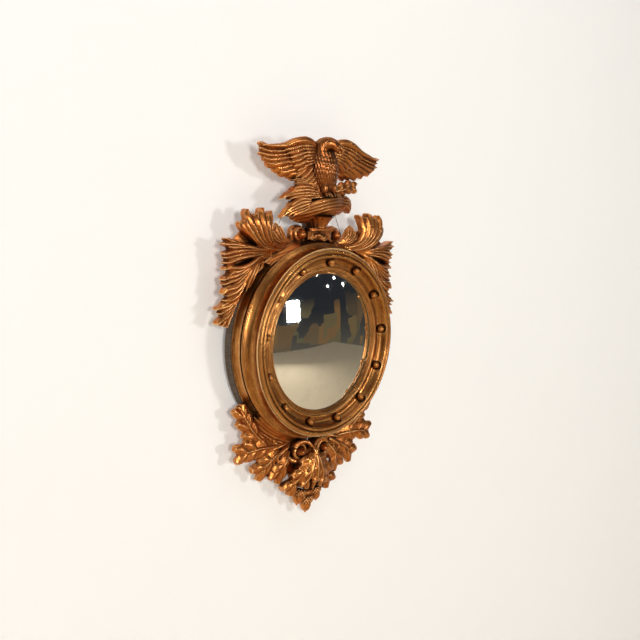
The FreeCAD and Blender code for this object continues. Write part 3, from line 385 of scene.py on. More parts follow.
# ---- materials
GILT = gilt("gilt_rings", (0.56, 0.235, 0.058), (0.38, 0.135, 0.030), (0.98, 0.62, 0.27), 0.006,
            0.9, True)
GILT_BALL = gilt("gilt_ball", (0.66, 0.30, 0.085), (0.46, 0.17, 0.040), (0.95, 0.62, 0.30), 0.008,
                 0.0)
CARVED = gilt("gilt_carving", (0.66, 0.235, 0.053), (0.43, 0.125, 0.028), (1.0, 0.62, 0.27), 0.014)
PLAIN = gilt("gilt_plain", (0.50, 0.17, 0.042), (0.30, 0.085, 0.021), (0.90, 0.52, 0.22), 0.014,
             0.0)
BREAST = gilt("gilt_breast", (0.36, 0.115, 0.028), (0.22, 0.060, 0.016), (0.85, 0.45, 0.18), 0.014)
TIMBER = timber("raw_timber", (0.16, 0.115, 0.08), (0.055, 0.038, 0.028))
STEEL = metal("steel", (0.55, 0.54, 0.52), (0.22, 0.17, 0.12), 0.28, 0.6)
WIRE = metal("steel_wire", (0.42, 0.40, 0.37), (0.20, 0.15, 0.10), 0.3, 0.55, 400.0)
SILVER = metal("silvering", (0.88, 0.89, 0.88), (0.80, 0.81, 0.80), 0.015, 0.035, 40.0)
FINISH = {"gilt_moulding": GILT, "gilt_ball": GILT_BALL, "gilt_carving": CARVED,
          "raw_wood": TIMBER, "steel": STEEL, "silvered_glass": SILVER}
PLAIN_NODES = ("volute_plinth", "urn_slab", "volute_bosses", "apron_bosses")

for node_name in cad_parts:
    held_by = bpy.data.objects.get(node_name)
    if held_by is None:
        continue
    for held in held_by.material_slots:
        label = held.material.name.split(".")[0] if held.material else ""
        for key, finish in FINISH.items():
            if key in label:
                held.material = finish
for node_name in PLAIN_NODES:
    bpy.data.objects[node_name].material_slots[0].material = PLAIN


# ---- carving
def along(poles, t):
    """The point at t from 0 to 1 on the smooth curve through the poles."""
    last = len(poles) - 1
    place = min(max(t, 0.0), 1.0) * last
    k = min(int(place), last - 1)
    f = place - k
    b = poles[k]
    c = poles[k + 1]
    a = poles[k - 1] if k else b * 2 - c
    d = poles[k + 2] if k + 2 <= last else c * 2 - b
    return 0.5 * (b * 2 + (c - a) * f + (a * 2 - b * 5 + c * 4 - d) * f ** 2
                  + (b * 3 - a - c * 3 + d) * f ** 3)


def between(values, place):
    """The value at a place among evenly spaced ones, counted from 0."""
    k = min(int(place), len(values) - 2)
    return values[k] + (values[k + 1] - values[k]) * (place - k)


ACROSS = (-1.0, -0.72, -0.38, 0.0, 0.38, 0.72, 1.0)    # a ridge's front points, in half widths
BEHIND = (0.85, 0.0, -0.85)                             # and its back points
HOOK_FROM = 0.8      # share of a ridge's length at which its end starts to bend
LIFT_REACH = 16.0    # how far from the ring the lift fades out


class Carving:
    """Ridges and lumps in millimetres, points as (x, z, depth), fused into one carved piece."""

    def __init__(self):
        self.verts = []
        self.faces = []

    def loft(self, rings):
        """A closed skin through rings of equal count, each capped at the ends by its middle."""
        first = len(self.verts)
        count = len(rings[0])
        for ring in rings:
            self.verts.extend(ring)
        self.faces.extend(ring_faces(first, len(rings), count))
        for ring, start, flip in ((rings[0], first, True),
                                  (rings[-1], first + (len(rings) - 1) * count, False)):
            middle = len(self.verts)
            self.verts.append(sum(ring, Vector()) / count)
            for j in range(count):
                pair = (start + j, start + (j + 1) % count)
                self.faces.append((pair[1], pair[0], middle) if flip else pair + (middle,))

    def ridge(self, path, halves, relief=5.0, thick=9.0, power=1.4, back=BOARD_BACK):
        """A ridge whose crest follows the path and whose sides fall by relief.

        Its back lies thick behind its sides, but no further back than the depth back."""
        rings = []
        for i, point in enumerate(path):
            ahead = path[min(i + 1, len(path) - 1)] - path[max(i - 1, 0)]
            side = Vector((-ahead.y, ahead.x, 0.0))
            side = side.normalized() if side.length > 1e-6 else Vector((1, 0, 0))
            half = halves[i]
            fall = relief * min(1.0, half / 3.0)
            ring = []
            for u in ACROSS:
                ring.append(point + side * (u * half) - Vector((0, 0, fall * abs(u) ** power)))
            low = max(back, point.z - fall - thick)
            for u in BEHIND:
                here = point + side * (u * half)
                here.z = min(low, point.z - fall - 1.0)
                ring.append(here)
            rings.append(ring)
        self.loft(rings)

    def fan(self, guides, count, teeth=(1.0,), overlap=0.66, relief=6.0, thick=9.0,
            tip=0.3, stations=20, least=1.5, outside=None, ripple=(0.0, 0), power=1.3,
            uneven=0.0, hook=0.0, lift=0.0):
        """Ridges side by side, spread between the guide lines, each ending at its own length.

        teeth are their lengths in turn, tip the share of each that tapers, outside the radius
        that they keep clear of and ripple their waves' height and count. uneven sets some ridges
        higher than others, hook bends their ends sideways, and lift raises the ridges that lie
        against the ring."""
        guides = [[Vector(p) for p in guide] for guide in guides]
        lines = []
        for i in range(count):
            g = i / max(count - 1, 1) * (len(guides) - 1)
            k = min(int(g), len(guides) - 2)
            lines.append([a.lerp(b, g - k) for a, b in zip(guides[k], guides[k + 1])])
        for i, poles in enumerate(lines):
            length = teeth[i % len(teeth)] * random.uniform(0.985, 1.015)
            level = random.uniform(-uneven, uneven)
            path = []
            halves = []
            for s in range(stations):
                share = s / (stations - 1)
                t = share * min(length, 1.0)
                point = along(poles, t)
                near = [(along(lines[j], t) - point).xy.length
                        for j in (i - 1, i + 1) if 0 <= j < count]
                half = max(least, overlap * sum(near) / len(near) * random.uniform(0.97, 1.03))
                if share > 1.0 - tip:
                    half *= max(0.08, 1.0 - ((share - 1.0 + tip) / tip) ** 1.7) ** 0.8
                if hook and share > HOOK_FROM:
                    way = along(poles, t) - along(poles, t - 0.03)
                    bend = hook * ((share - HOOK_FROM) / (1.0 - HOOK_FROM)) ** 2
                    point = point + Vector((-way.y, way.x, 0.0)).normalized() * bend
                if outside:
                    reach = point.xy.length
                    if reach < outside:
                        point = Vector((point.x * outside / reach, point.y * outside / reach,
                                        point.z))
                    point.z += lift * max(0.0, 1.0 - (point.xy.length - outside) / LIFT_REACH)
                wave = ripple[0] * sin(tau * ripple[1] * t + i)
                path.append(point + Vector((0.0, 0.0, wave + level * min(1.0, 3.0 * share))))
                halves.append(half)
            self.ridge(path, halves, relief, thick, power)

    def leaf(self, poles, half, pairs, angle=42.0, thick=8.0):
        """An oak leaf: a blade with ridged lobes in pairs, and a raised midrib."""
        poles = [Vector(p) for p in poles]
        rise = Vector((0.0, 0.0, 2.2))
        under = Vector((0.0, 0.0, -1.0))
        self.line([p + under for p in poles], [half * w for w in (0.34, 0.6, 0.68, 0.6, 0.42, 0.2)],
                  2.6, thick, power=2.0)
        for k in range(pairs):
            t = (k + 0.3) / (pairs + 0.35)
            root = along(poles, t)
            way = along(poles, t + 0.04) - along(poles, t - 0.04)
            way.z = 0.0
            way.normalize()
            reach = half * (0.90 + 0.34 * sin(pi * (0.1 + 0.8 * t)))
            for side in (1, -1):
                turn = Matrix.Rotation(radians(side * (angle - 14.0 * t)), 3, "Z")
                out = turn @ way * reach
                tip = root + out + way * reach * 0.16 + Vector((0.0, 0.0, -2.5))
                middle = root + out * 0.55 + Vector((0.0, 0.0, 1.0 + random.uniform(-0.8, 0.8)))
                self.line((root, middle, tip), (2.2, reach * 0.34, reach * 0.40, reach * 0.24),
                          5.2, thick, 14, power=1.4)
        self.line((along(poles, 0.70), along(poles, 0.88), along(poles, 1.0)),
                  (half * 0.34, half * 0.42, half * 0.34, half * 0.14), 5.0, thick, 12, power=1.5)
        self.line([p + rise for p in poles[:-1]] + [poles[-1]], (2.8, 2.5, 2.0, 1.0), 3.4, 4.0)

    def tube(self, poles, radii, ribs=0, rib=0.0, stations=24, round_by=36):
        """A round limb through the poles, with ribs along it."""
        poles = [Vector(p) for p in poles]
        rings = []
        for s in range(stations):
            t = s / (stations - 1)
            r = between(radii, t * (len(radii) - 1))
            way = (along(poles, t + 0.02) - along(poles, t - 0.02)).normalized()
            side = way.cross(Vector((0.0, 0.3, 1.0))).normalized()
            up = side.cross(way)
            ring = []
            for j in range(round_by):
                a = tau * j / round_by
                here = r + rib * abs(cos(ribs * a / 2)) * sin(pi * min(1.0, t + 0.2))
                ring.append(along(poles, t) + side * (here * cos(a)) + up * (here * sin(a)))
            rings.append(ring)
        self.loft(rings)

    def line(self, poles, widths, relief=3.0, thick=9.0, stations=24, back=BOARD_BACK,
             power=1.6):
        """One ridge through the poles; widths are half widths spread evenly along it."""
        poles = [Vector(p) for p in poles]
        path = []
        halves = []
        for s in range(stations):
            t = s / (stations - 1)
            path.append(along(poles, t))
            halves.append(between(widths, t * (len(widths) - 1)))
        self.ridge(path, halves, relief, thick, power, back)

    def lump(self, centre, radii, lean=0.0, rows=10, round_by=16):
        """An ellipsoid; lean turns it in the plane of the front, in degrees."""
        centre = Vector(centre)
        turn = Matrix.Rotation(radians(lean), 3, "Z")
        rings = []
        for i in range(1, rows):
            up = pi * i / rows
            ring = []
            for j in range(round_by):
                a = tau * j / round_by
                ring.append(centre + turn @ Vector((radii[0] * sin(up) * cos(a),
                                                    radii[1] * cos(up),
                                                    radii[2] * sin(up) * sin(a))))
            rings.append(ring)
        self.loft(rings)

    def finish(self, name, node=None, mirror=None, material=CARVED, voxel=1.25, smooth=3):
        """Fuse the ridges and lumps into one skin, which takes the place of the node.

        mirror is True for a left piece, made as the right one's mirror image, and False for the
        right one; their names end with their side."""
        if mirror is not None:
            side = "_left" if mirror else "_right"
            name += side
            node += side
        flip = -1.0 if mirror else 1.0
        thing = shaped(name, [(flip * p[0], p[1], p[2]) for p in self.verts], self.faces)
        fuse = thing.modifiers.new("fuse", "REMESH")
        fuse.mode = "VOXEL"
        fuse.voxel_size = voxel * MM
        soften = thing.modifiers.new("soften", "SMOOTH")
        soften.factor = 0.5
        soften.iterations = smooth
        graph = bpy.context.evaluated_depsgraph_get()
        solid = bpy.data.meshes.new_from_object(thing.evaluated_get(graph))
        thing.modifiers.clear()
        thing.data = solid
        solid.name = name
        dress(thing, node, material)


def dress(thing, node, material=CARVED):
    """Give a piece its material and its body, and hide the node that it stands for."""
    thing.data.materials.clear()
    thing.data.materials.append(material)
    for face in thing.data.polygons:
        face.use_smooth = True
    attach(thing, "root")
    if node:
        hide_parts(node)


def spiral(centre, start, turns, radius, end_radius, depth, end_depth, count=22, way=1):
    """Points winding in round a centre, from the angle start in degrees."""
    points = []
    for i in range(count):
        t = i / (count - 1)
        a = radians(start) + way * turns * tau * t
        r = radius + (end_radius - radius) * t
        points.append((centre[0] + r * cos(a), centre[1] + r * sin(a),
                       depth + (end_depth - depth) * t))
    return points


# Guide lines are rows of (x, z, depth) in millimetres. All are for the right-hand side; the left
# one is its mirror image, as it nearly is on the object.
TOP_LEAF = [
    [(60, 191, 24), (88, 193, 27), (112, 197, 31), (126, 209, 37),
     (132, 227, 40), (130, 246, 35), (127, 259, 28)],
    [(60, 188, 25), (92, 189, 28), (120, 194, 34), (138, 209, 40),
     (147, 230, 42), (147, 250, 37), (140, 264, 28)],
    [(60, 185, 26), (96, 186, 29), (128, 191, 34), (150, 206, 41),
     (162, 228, 43), (167, 250, 37), (165, 268, 28)],
    [(64, 183, 26), (102, 183, 29), (136, 188, 34), (160, 202, 39),
     (178, 223, 40), (187, 241, 35), (191, 257, 27)],
    [(70, 182, 26), (108, 182, 28), (144, 185, 32), (167, 196, 36),
     (184, 211, 36), (195, 225, 32), (204, 240, 26)],
    [(76, 181, 25), (114, 182, 27), (148, 187, 30), (168, 198, 33),
     (182, 209, 33), (193, 216, 30), (203, 221, 24)],
]
SIDE_LEAF = [
    [(112, 181, 26), (148, 185, 30), (178, 190, 33), (205, 195, 31), (224, 199, 28), (241, 200, 24)],
    [(114, 180, 26), (152, 184, 31), (184, 189, 34), (208, 190, 33), (226, 188, 29), (240, 183, 25)],
    [(118, 179, 26), (156, 180, 31), (188, 181, 34), (210, 178, 33), (226, 174, 29), (236, 168, 25)],
    [(122, 177, 25), (156, 174, 31), (182, 171, 33), (204, 167, 32), (220, 161, 28), (233, 154, 23)],
]
LOW_SIDE_LEAF = [
    [(128, 176, 26), (158, 168, 31), (178, 156, 33), (200, 149, 32), (220, 149, 28), (236, 149, 24)],
    [(130, 175, 26), (164, 164, 31), (186, 150, 32), (206, 141, 31), (222, 137, 28), (237, 136, 24)],
    [(132, 174, 26), (166, 158, 31), (190, 142, 32), (208, 131, 31), (222, 126, 28), (238, 124, 24)],
    [(134, 173, 25), (168, 152, 30), (190, 134, 31), (206, 122, 29), (220, 116, 27), (234, 112, 23)],
]
CURL = [
    [(178, 142, 28), (194, 124, 31), (210, 113, 32), (228, 109, 30), (238, 100, 26)],
    [(176, 138, 28), (190, 118, 31), (202, 100, 31), (218, 90, 30), (236, 88, 25)],
]
FOOT_LEAF = [
    [(172, 146, 26), (192, 115, 28), (205, 99, 28), (226, 84, 28), (250, 84, 24)],
    [(172, 142, 26), (194, 109, 28), (208, 88, 28), (228, 71, 28), (251, 66, 24)],
    [(176, 138, 26), (199, 100, 28), (213, 75, 28), (230, 57, 28), (250, 47, 24)],
    [(178, 132, 26), (202, 93, 27), (214, 67, 27), (223, 48, 26), (233, 31, 22)],
]
PLAIN_LEAF = [
    [(140, 177, 28), (160, 170, 34), (180, 152, 37), (190, 134, 36), (194, 116, 29)],
    [(137, 176, 28), (156, 165, 35), (172, 146, 39), (181, 126, 38), (184, 102, 30)],
    [(134, 175, 27), (150, 161, 33), (162, 143, 37), (171, 124, 36), (177, 106, 28)],
]
HUMP_LEAF = [
    [(56, 198, 26), (74, 202, 28), (86, 210, 30), (94, 222, 30), (101, 236, 25)],
    [(56, 195, 26), (80, 199, 29), (97, 207, 31), (107, 220, 31), (110, 235, 25)],
    [(56, 192, 26), (84, 195, 28), (106, 200, 30), (121, 211, 30), (129, 224, 25)],
]
STEM = [
    [(44, 204, 24), (72, 202, 26), (95, 198, 27), (118, 193, 28), (136, 188, 30)],
    [(48, 197, 26), (75, 192, 27), (100, 187, 27), (128, 181, 28), (158, 178, 29)],
    [(52, 193, 26), (80, 186, 26), (104, 178, 26), (122, 170, 26), (136, 160, 25)],
]
# Low ground behind the leaves, so that the gaps between them are dark hollows.
BED_TOP = [
    [(120, 190, 17), (160, 200, 18), (184, 208, 18), (196, 212, 17)],
    [(120, 182, 17), (160, 188, 18), (190, 196, 18), (214, 196, 17)],
]
BED_SIDE = [
    [(140, 176, 17), (176, 172, 18), (204, 168, 18), (224, 158, 17)],
    [(140, 170, 17), (172, 160, 18), (196, 152, 18), (222, 150, 17)],
    [(150, 160, 17), (176, 140, 18), (196, 118, 18), (218, 96, 17)],
]
VOLUTE = (49, 214)
# Thin shoots beside the plain leaf: poles and half widths.
TENDRILS = (
    (((137, 176, 28), (146, 166, 32), (142, 152, 31), (150, 142, 28), (158, 134, 24)),
     (4, 5, 4, 2)),
    (((124, 178, 27), (120, 170, 30), (130, 163, 30), (136, 158, 27), (142, 152, 22)),
     (3, 4, 3, 1.5)),
    (((108, 182, 26), (106, 176, 28), (117, 171, 28), (126, 166, 24), (132, 160, 20)),
     (3, 4, 3, 1.5)),
)


def raised(guides, rise):
    """The guide lines moved forward."""
    return [[(x, z, d + rise) for x, z, d in guide] for guide in guides]


def mirrored(guides):
    """The mirror images of the guide lines."""
    return [[(-x, z, d) for x, z, d in guide] for guide in guides]


def crest_sprig(mirror):
    """The small leaf that stands up between the volute and the tall one."""
    work = Carving()
    work.fan(HUMP_LEAF, 5, (0.9, 1.0, 0.93), relief=4.5, tip=0.16, overlap=0.62, power=1.3)
    work.finish("crest_sprig_carving", "crest_sprig", mirror)


def crest(mirror):
    """The tall leaf, the side leaves and the stems, which lap over the ring's side."""
    work = Carving()
    work.fan(raised(TOP_LEAF, 4), 8, (1.0, 0.9, 0.97, 0.86), tip=0.13, stations=44, thick=14,
             outside=CLEAR, overlap=0.62, uneven=2.0, hook=4.0)
    work.fan(raised(SIDE_LEAF, 7), 6, (0.94, 1.0, 0.84, 0.98), tip=0.16, thick=15,
             outside=CLEAR, stations=34, uneven=1.8, hook=4.0)
    work.fan(raised(LOW_SIDE_LEAF, 7), 5, (0.98, 0.86, 1.0), tip=0.16, thick=15,
             outside=CLEAR, stations=34, uneven=1.8, hook=-4.0)
    work.fan(raised(CURL, 6), 3, (1.0, 0.86), relief=4.0, thick=14, tip=0.2, outside=CLEAR)
    work.fan(raised(FOOT_LEAF, 6), 7, (0.88, 1.0, 0.93), tip=0.16, thick=14, outside=CLEAR,
             stations=30, uneven=1.8, hook=-4.0)
    work.fan(PLAIN_LEAF, 4, (1.0, 0.94), relief=4.5, overlap=0.72, thick=20, tip=0.24,
             outside=LAP, power=1.7, lift=20.0)
    innermost = [(0.95 * x, 0.95 * z, d) for x, z, d in STEM[-1]]
    work.fan([innermost] + STEM[::-1], 8, relief=4.5, thick=20, tip=0.1, outside=LAP, power=1.4,
             lift=20.0)
    for guides in (BED_TOP, BED_SIDE):
        work.fan(guides, 3, relief=1.0, thick=4, tip=0.2, overlap=0.9, outside=CLEAR)
    work.line(spiral(VOLUTE, -70, 1.15, 15.5, 9.5, 30, 36, way=-1), (4.6, 4.2, 3.4), relief=3.0,
              thick=20, stations=48)
    steps = 12
    rim = [Vector((VOLUTE[0] + 15 * cos(a / steps * tau),
                   VOLUTE[1] + 15 * sin(a / steps * tau), 25)) for a in range(steps + 1)]
    work.ridge(rim, [4.5] * len(rim), 2.0, 12)
    for poles, widths in TENDRILS:
        work.line(poles, widths, relief=3.0)
    work.finish("crest_carving", "crest", mirror)


# ---- apron
# Oak leaves: spine, half width, pairs of lobes.
APRON_LEAVES = (
    (((88, -207, 26), (122, -196, 31), (150, -174, 33), (170, -148, 31), (184, -118, 25)), 22, 5),
    (((76, -210, 28), (108, -206, 34), (140, -205, 36), (164, -208, 34), (184, -211, 29)), 24, 4),
    (((70, -216, 28), (92, -226, 34), (109, -236, 35), (121, -245, 33), (129, -253, 27)), 24, 3),
    (((56, -222, 33), (68, -238, 40), (75, -249, 40), (81, -259, 36), (85, -269, 29)), 22, 3),
)
DROP_LEAVES = (
    (((4, -232, 52), (20, -252, 55), (36, -272, 52), (50, -290, 44), (60, -306, 34)), 22, 3),
    (((3, -230, 55), (10, -250, 60), (17, -270, 60), (23, -286, 55), (27, -300, 46)), 15, 3),
)
DROP_MIDDLE = ((0, -226, 55), (0, -250, 62), (0, -275, 62), (0, -306, 51))
RING_BAND = [
    [(36, -192, 27), (70, -182, 28), (98, -169, 28), (122, -152, 27), (142, -134, 24)],
    [(40, -204, 27), (76, -193, 28), (106, -179, 28), (131, -161, 27), (152, -142, 24)],
    [(46, -212, 28), (82, -205, 31), (114, -192, 32), (142, -172, 31), (163, -148, 27)],
]
# Low ground between the leaves: poles, half widths and thickness.
APRON_BEDS = (
    (((44, -222, 18), (58, -242, 18), (68, -258, 17)), (12, 22, 14), 5),
    (((26, -240, 20), (42, -256, 20), (50, -272, 19)), (14, 18, 12), 7),
    (((96, -208, 18), (124, -218, 18), (140, -222, 17)), (12, 18, 10), 5),
)
SCROLL = (33, -225)


def apron(mirror):
    """Four oak leaves on a stem that laps over the ring's side."""
    work = Carving()
    work.fan(RING_BAND, 6, (1.0, 0.92), relief=4.5, thick=20, tip=0.12, outside=LAP,
             stations=30, lift=17.0)
    for poles, widths, thick in APRON_BEDS:
        work.line(poles, widths, 1.0, thick)
    for spine, half, pairs in APRON_LEAVES:
        work.leaf(spine, half, pairs)
    work.line(((50, -204, 28), (72, -208, 33), (92, -212, 33), (112, -212, 31), (130, -206, 28)),
              (3, 4.5, 4.5, 4, 2), 4.0, 10)
    work.line(((58, -212, 36), (76, -220, 38), (88, -228, 37), (86, -238, 36), (77, -240, 35),
               (73, -233, 34)), (4, 4.5, 4, 3.5, 3, 2), relief=3.0, thick=10)
    work.finish("apron_carving", "apron", mirror)


def apron_scroll(mirror):
    """The C-scroll, its tie to the middle and the shoot under it."""
    work = Carving()
    work.line(spiral(SCROLL, 35, 1.3, 15.5, 12.0, 44, 41), (4.2, 4.0, 3.2), relief=3.0,
              thick=26, stations=56)
    work.line(((47, -216, 42), (38, -207, 44), (24, -205, 45), (10, -210, 47), (0, -222, 50)),
              (4, 4.5, 4.5, 4, 3), relief=3.0, thick=24)
    work.line(((20, -240, 40), (33, -246, 40), (47, -243, 38), (57, -234, 35), (64, -226, 31)),
              (2.5, 4, 4.5, 4, 2.5), relief=3.0, thick=20)
    work.lump(SCROLL + (22,), (17, 17, 5))
    work.finish("apron_scroll_carving", "apron_scroll", mirror)


def drop():
    """Five oak leaves that hang down in the middle."""
    work = Carving()
    for spine, half, pairs in DROP_LEAVES:
        work.leaf(spine, half, pairs, thick=14.0)
        work.leaf(mirrored([spine])[0], half, pairs, thick=14.0)
    work.leaf(DROP_MIDDLE, 11, 3, thick=20.0)
    work.line(((0, -214, 50), (0, -224, 57), (0, -236, 60)), (5, 5.5, 3), 3.5, 26)
    work.lump((0, -262, 34), (32, 44, 18))
    work.finish("apron_drop_carving", "apron_drop")


ACORNS = (((0, -342, 29), 0, 17.0, 12.0), ((24, -323, 31), 14, 16.0, 11.5),
          ((-24, -323, 31), -14, 16.0, 11.5))
CUP_RISE = 0.62      # the cup's middle above the nut's, in nut lengths
CUP_ROWS = 4
CUP_SCALES = 14      # scales in each row
SCALE_SIZE = (2.3, 2.8, 1.7)


def acorn(work, centre, tilt, long, wide):
    """A nut hanging tip down, in a cup of overlapping scales."""
    turn = Matrix.Rotation(radians(tilt), 3, "Z")
    middle = Vector(centre)
    cup = long * CUP_RISE
    work.lump(middle, (wide, long, wide), tilt)
    work.lump(middle + turn @ Vector((0, -long, 0)), (2.2, 3.0, 2.2), tilt)
    work.lump(middle + turn @ Vector((0, cup, 0)), (wide + 2.6, long * 0.52, wide + 2.6), tilt)
    for row in range(CUP_ROWS):
        up = long * (0.30 + 0.2 * row)
        reach = (wide + 3.0) * sqrt(max(0.0, 1 - ((up - cup) / cup) ** 2))
        for j in range(CUP_SCALES):
            a = tau * (j + 0.5 * (row % 2)) / CUP_SCALES
            spot = Vector((reach * cos(a), up, reach * sin(a)))
            work.lump(middle + turn @ spot, SCALE_SIZE, tilt, 6, 8)


def acorns():
    work = Carving()
    for centre, tilt, long, wide in ACORNS:
        acorn(work, centre, tilt, long, wide)
    work.lump((0, -318, 30), (22, 9, 10))
    work.finish("acorn_cluster", "acorns", voxel=1.0, smooth=2)


# ---- eagle and its platform
FLIGHT = [
    [(34, 392, 34), (70, 393, 38), (104, 384, 39), (140, 381, 36), (171, 386, 31)],
    [(34, 384, 34), (70, 380, 38), (104, 371, 39), (140, 366, 36), (169, 368, 31)],
    [(34, 374, 34), (68, 368, 37), (100, 359, 38), (134, 352, 35), (160, 352, 30)],
    [(34, 362, 33), (62, 354, 35), (88, 346, 36), (114, 338, 34), (136, 335, 29)],
    [(32, 350, 32), (52, 341, 33), (70, 334, 34), (88, 328, 32), (104, 324, 28)],
    [(30, 338, 31), (42, 331, 32), (54, 326, 32), (66, 322, 30), (76, 319, 28)],
]
COVERTS = [
    [(30, 396, 40), (60, 399, 44), (88, 391, 45), (114, 385, 40)],
    [(30, 385, 42), (58, 383, 46), (84, 375, 46), (108, 368, 40)],
    [(30, 371, 42), (54, 367, 45), (74, 358, 44), (94, 350, 38)],
    [(28, 353, 39), (44, 348, 42), (58, 340, 41), (74, 332, 35)],
]
SHOULDER = [
    [(24, 392, 43), (46, 398, 47), (70, 396, 46)],
    [(22, 376, 45), (44, 374, 49), (64, 370, 46)],
    [(20, 356, 43), (38, 352, 45), (54, 346, 42)],
]
FLANK = [
    [(18, 374, 41), (36, 354, 42), (52, 338, 40), (68, 324, 35)],
    [(12, 362, 44), (24, 340, 44), (38, 324, 42), (56, 312, 37)],
    [(8, 346, 46), (14, 330, 46), (24, 316, 45), (40, 306, 41)],
]
BONE = ((20, 380, 42), (34, 396, 46), (56, 401, 48), (80, 398, 47), (106, 388, 44),
        (132, 384, 41), (162, 383, 35))
WING_TOP = 392.0       # height of the wings' shoulders in the guide lines
WING_REACH = 171.0     # and their tips' distance to the side
# Each wing's stretch to the side, shoulder height, squeeze below it and how much its tip drops.
RIGHT_WING = (1.04, WING_TOP, 0.80, 13.0)
LEFT_WING = (0.965, 387.0, 0.86, 0.0)


def wing_lines(guides, stretch, top, squeeze, drop_by):
    """The guide lines, shaped for one wing."""
    return [[(stretch * x, top + (z - WING_TOP) * (squeeze if z < WING_TOP else 1.0)
              - drop_by * (x / WING_REACH) ** 3, d) for x, z, d in guide] for guide in guides]


def wing(mirror):
    """Flight feathers, coverts, small shoulder feathers and the bone along the top."""
    shape = LEFT_WING if mirror else RIGHT_WING
    work = Carving()
    work.fan(wing_lines(FLIGHT, *shape), 9, (1.0, 0.95), relief=6.0, thick=7, tip=0.09,
             stations=40, overlap=0.6, power=1.4, uneven=1.2, hook=2.5)
    if mirror:
        work.fan(FLANK, 5, (1.0, 0.9), relief=4.0, thick=8, tip=0.2, power=1.5)
    work.fan(wing_lines(COVERTS, *shape), 7, (0.88, 1.0, 0.94), relief=5.0, thick=8, tip=0.2,
             stations=60, overlap=0.6, ripple=(0.4, 15), power=1.4, uneven=0.8)
    work.fan(wing_lines(SHOULDER, *shape), 8, (0.9, 1.0, 0.85), relief=3.2, thick=9, tip=0.4,
             overlap=0.6)
    work.line(wing_lines([BONE], *shape)[0], (6, 8, 8, 7, 5.5, 4, 2), 5.0, 12, 40, power=2.0)
    work.finish("eagle_wing_carving", "eagle_wing", mirror, voxel=1.1)


BODY_AXIS = 38.0       # depth of the body's middle
BODY_FOOT = 293.0
BODY_STEP = 15.0       # height between the half widths
BODY_HALVES = (10.0, 20.0, 26.0, 29.5, 30.0, 26.5, 20.5, 15.0)
BODY_HEIGHT = BODY_STEP * (len(BODY_HALVES) - 1)
BODY_FLAT = 0.92       # depth as a share of width
FEATHER_ROWS = 10
FEATHER_TOP = 384.0
FEATHER_STEP = 9.0
FEATHER_LENGTH = 16.0
FEATHER_RISE = (-1.6, 0.2, 1.0, 1.5, 0.9)    # height above the body along a feather
FEATHER_HALVES = (2.6, 4.0, 4.2, 3.4, 0.8)


def body_radius(z):
    """The eagle's half width at height z, from its seat to its neck."""
    place = (z - BODY_FOOT) / BODY_STEP
    return between(BODY_HALVES, min(max(place, 0.0), len(BODY_HALVES) - 1.001))


def body_lean(z):
    """How far the body's axis stands to the side at height z."""
    return 8.0 - 14.0 * (z - BODY_FOOT) / BODY_HEIGHT


def eagle():
    """The body with its breast feathers, legs and toes."""
    work = Carving()
    rings = []
    stations, round_by = 24, 28
    for i in range(stations):
        z = BODY_FOOT + BODY_HEIGHT * i / (stations - 1)
        r = body_radius(z)
        rings.append([Vector((body_lean(z) + r * cos(a / round_by * tau), z,
                              BODY_AXIS + BODY_FLAT * r * sin(a / round_by * tau)))
                      for a in range(round_by)])
    work.loft(rings)
    for row in range(FEATHER_ROWS):
        z = FEATHER_TOP - FEATHER_STEP * row
        count = max(4, int(2.4 * body_radius(z) / 6.0) + 3)
        for j in range(count):
            a = radians(-70 + 150 * (j + 0.5 * (row % 2)) / count)
            path = []
            for k, rise in enumerate(FEATHER_RISE):
                low = z - FEATHER_LENGTH * k / (len(FEATHER_RISE) - 1)
                out = body_radius(low) + rise
                path.append(Vector((body_lean(low) + out * sin(a), low,
                                    BODY_AXIS + BODY_FLAT * out * cos(a))))
            work.ridge(path, FEATHER_HALVES, 2.2, 4.0, 1.4, 0.0)
    for way in (-1, 1):
        work.lump((6 + way * 12, 308, 48), (9, 15, 12), way * 10)
        for toe in (-8, 0, 8):
            work.line(((8 + way * 12, 299, 55), (8 + way * 12 + toe * 0.7, 296, 62),
                       (8 + way * 12 + toe, 291, 67)), (3.0, 2.8, 1.2), relief=2.0, thick=6,
                      stations=8, back=0.0)
    work.finish("eagle_body_carving", "eagle_body", material=BREAST, voxel=1.0, smooth=2)


def eagle_head():
    """The neck arches over to the right and forward, and the beak points down."""
    work = Carving()
    work.tube(((-5, 368, 40), (-9, 384, 42), (-6, 393, 50), (2, 393, 60), (8, 386, 66)),
              (22, 18, 13.5, 11.5, 9.5), 16, 1.6)
    work.lump((8, 387, 66), (9.5, 10, 9.5), -25)
    work.tube(((10, 388, 70), (15, 384, 74), (16, 378, 75), (13, 372, 73)), (5.2, 4.6, 3.2, 0.8),
              stations=14, round_by=14)
    work.tube(((8, 383, 69), (11, 378, 71), (11, 375, 71)), (3.4, 2.8, 1.2), stations=8,
              round_by=12)
    work.tube(((0, 396, 63), (7, 395, 70), (13, 390, 73)), (2.2, 2.6, 1.2), stations=10,
              round_by=12)
    work.lump((7, 389, 74), (2.2, 2.2, 2.2), 0, 6, 10)
    work.finish("eagle_head_carving", "eagle_head", material=BREAST, voxel=0.9, smooth=2)


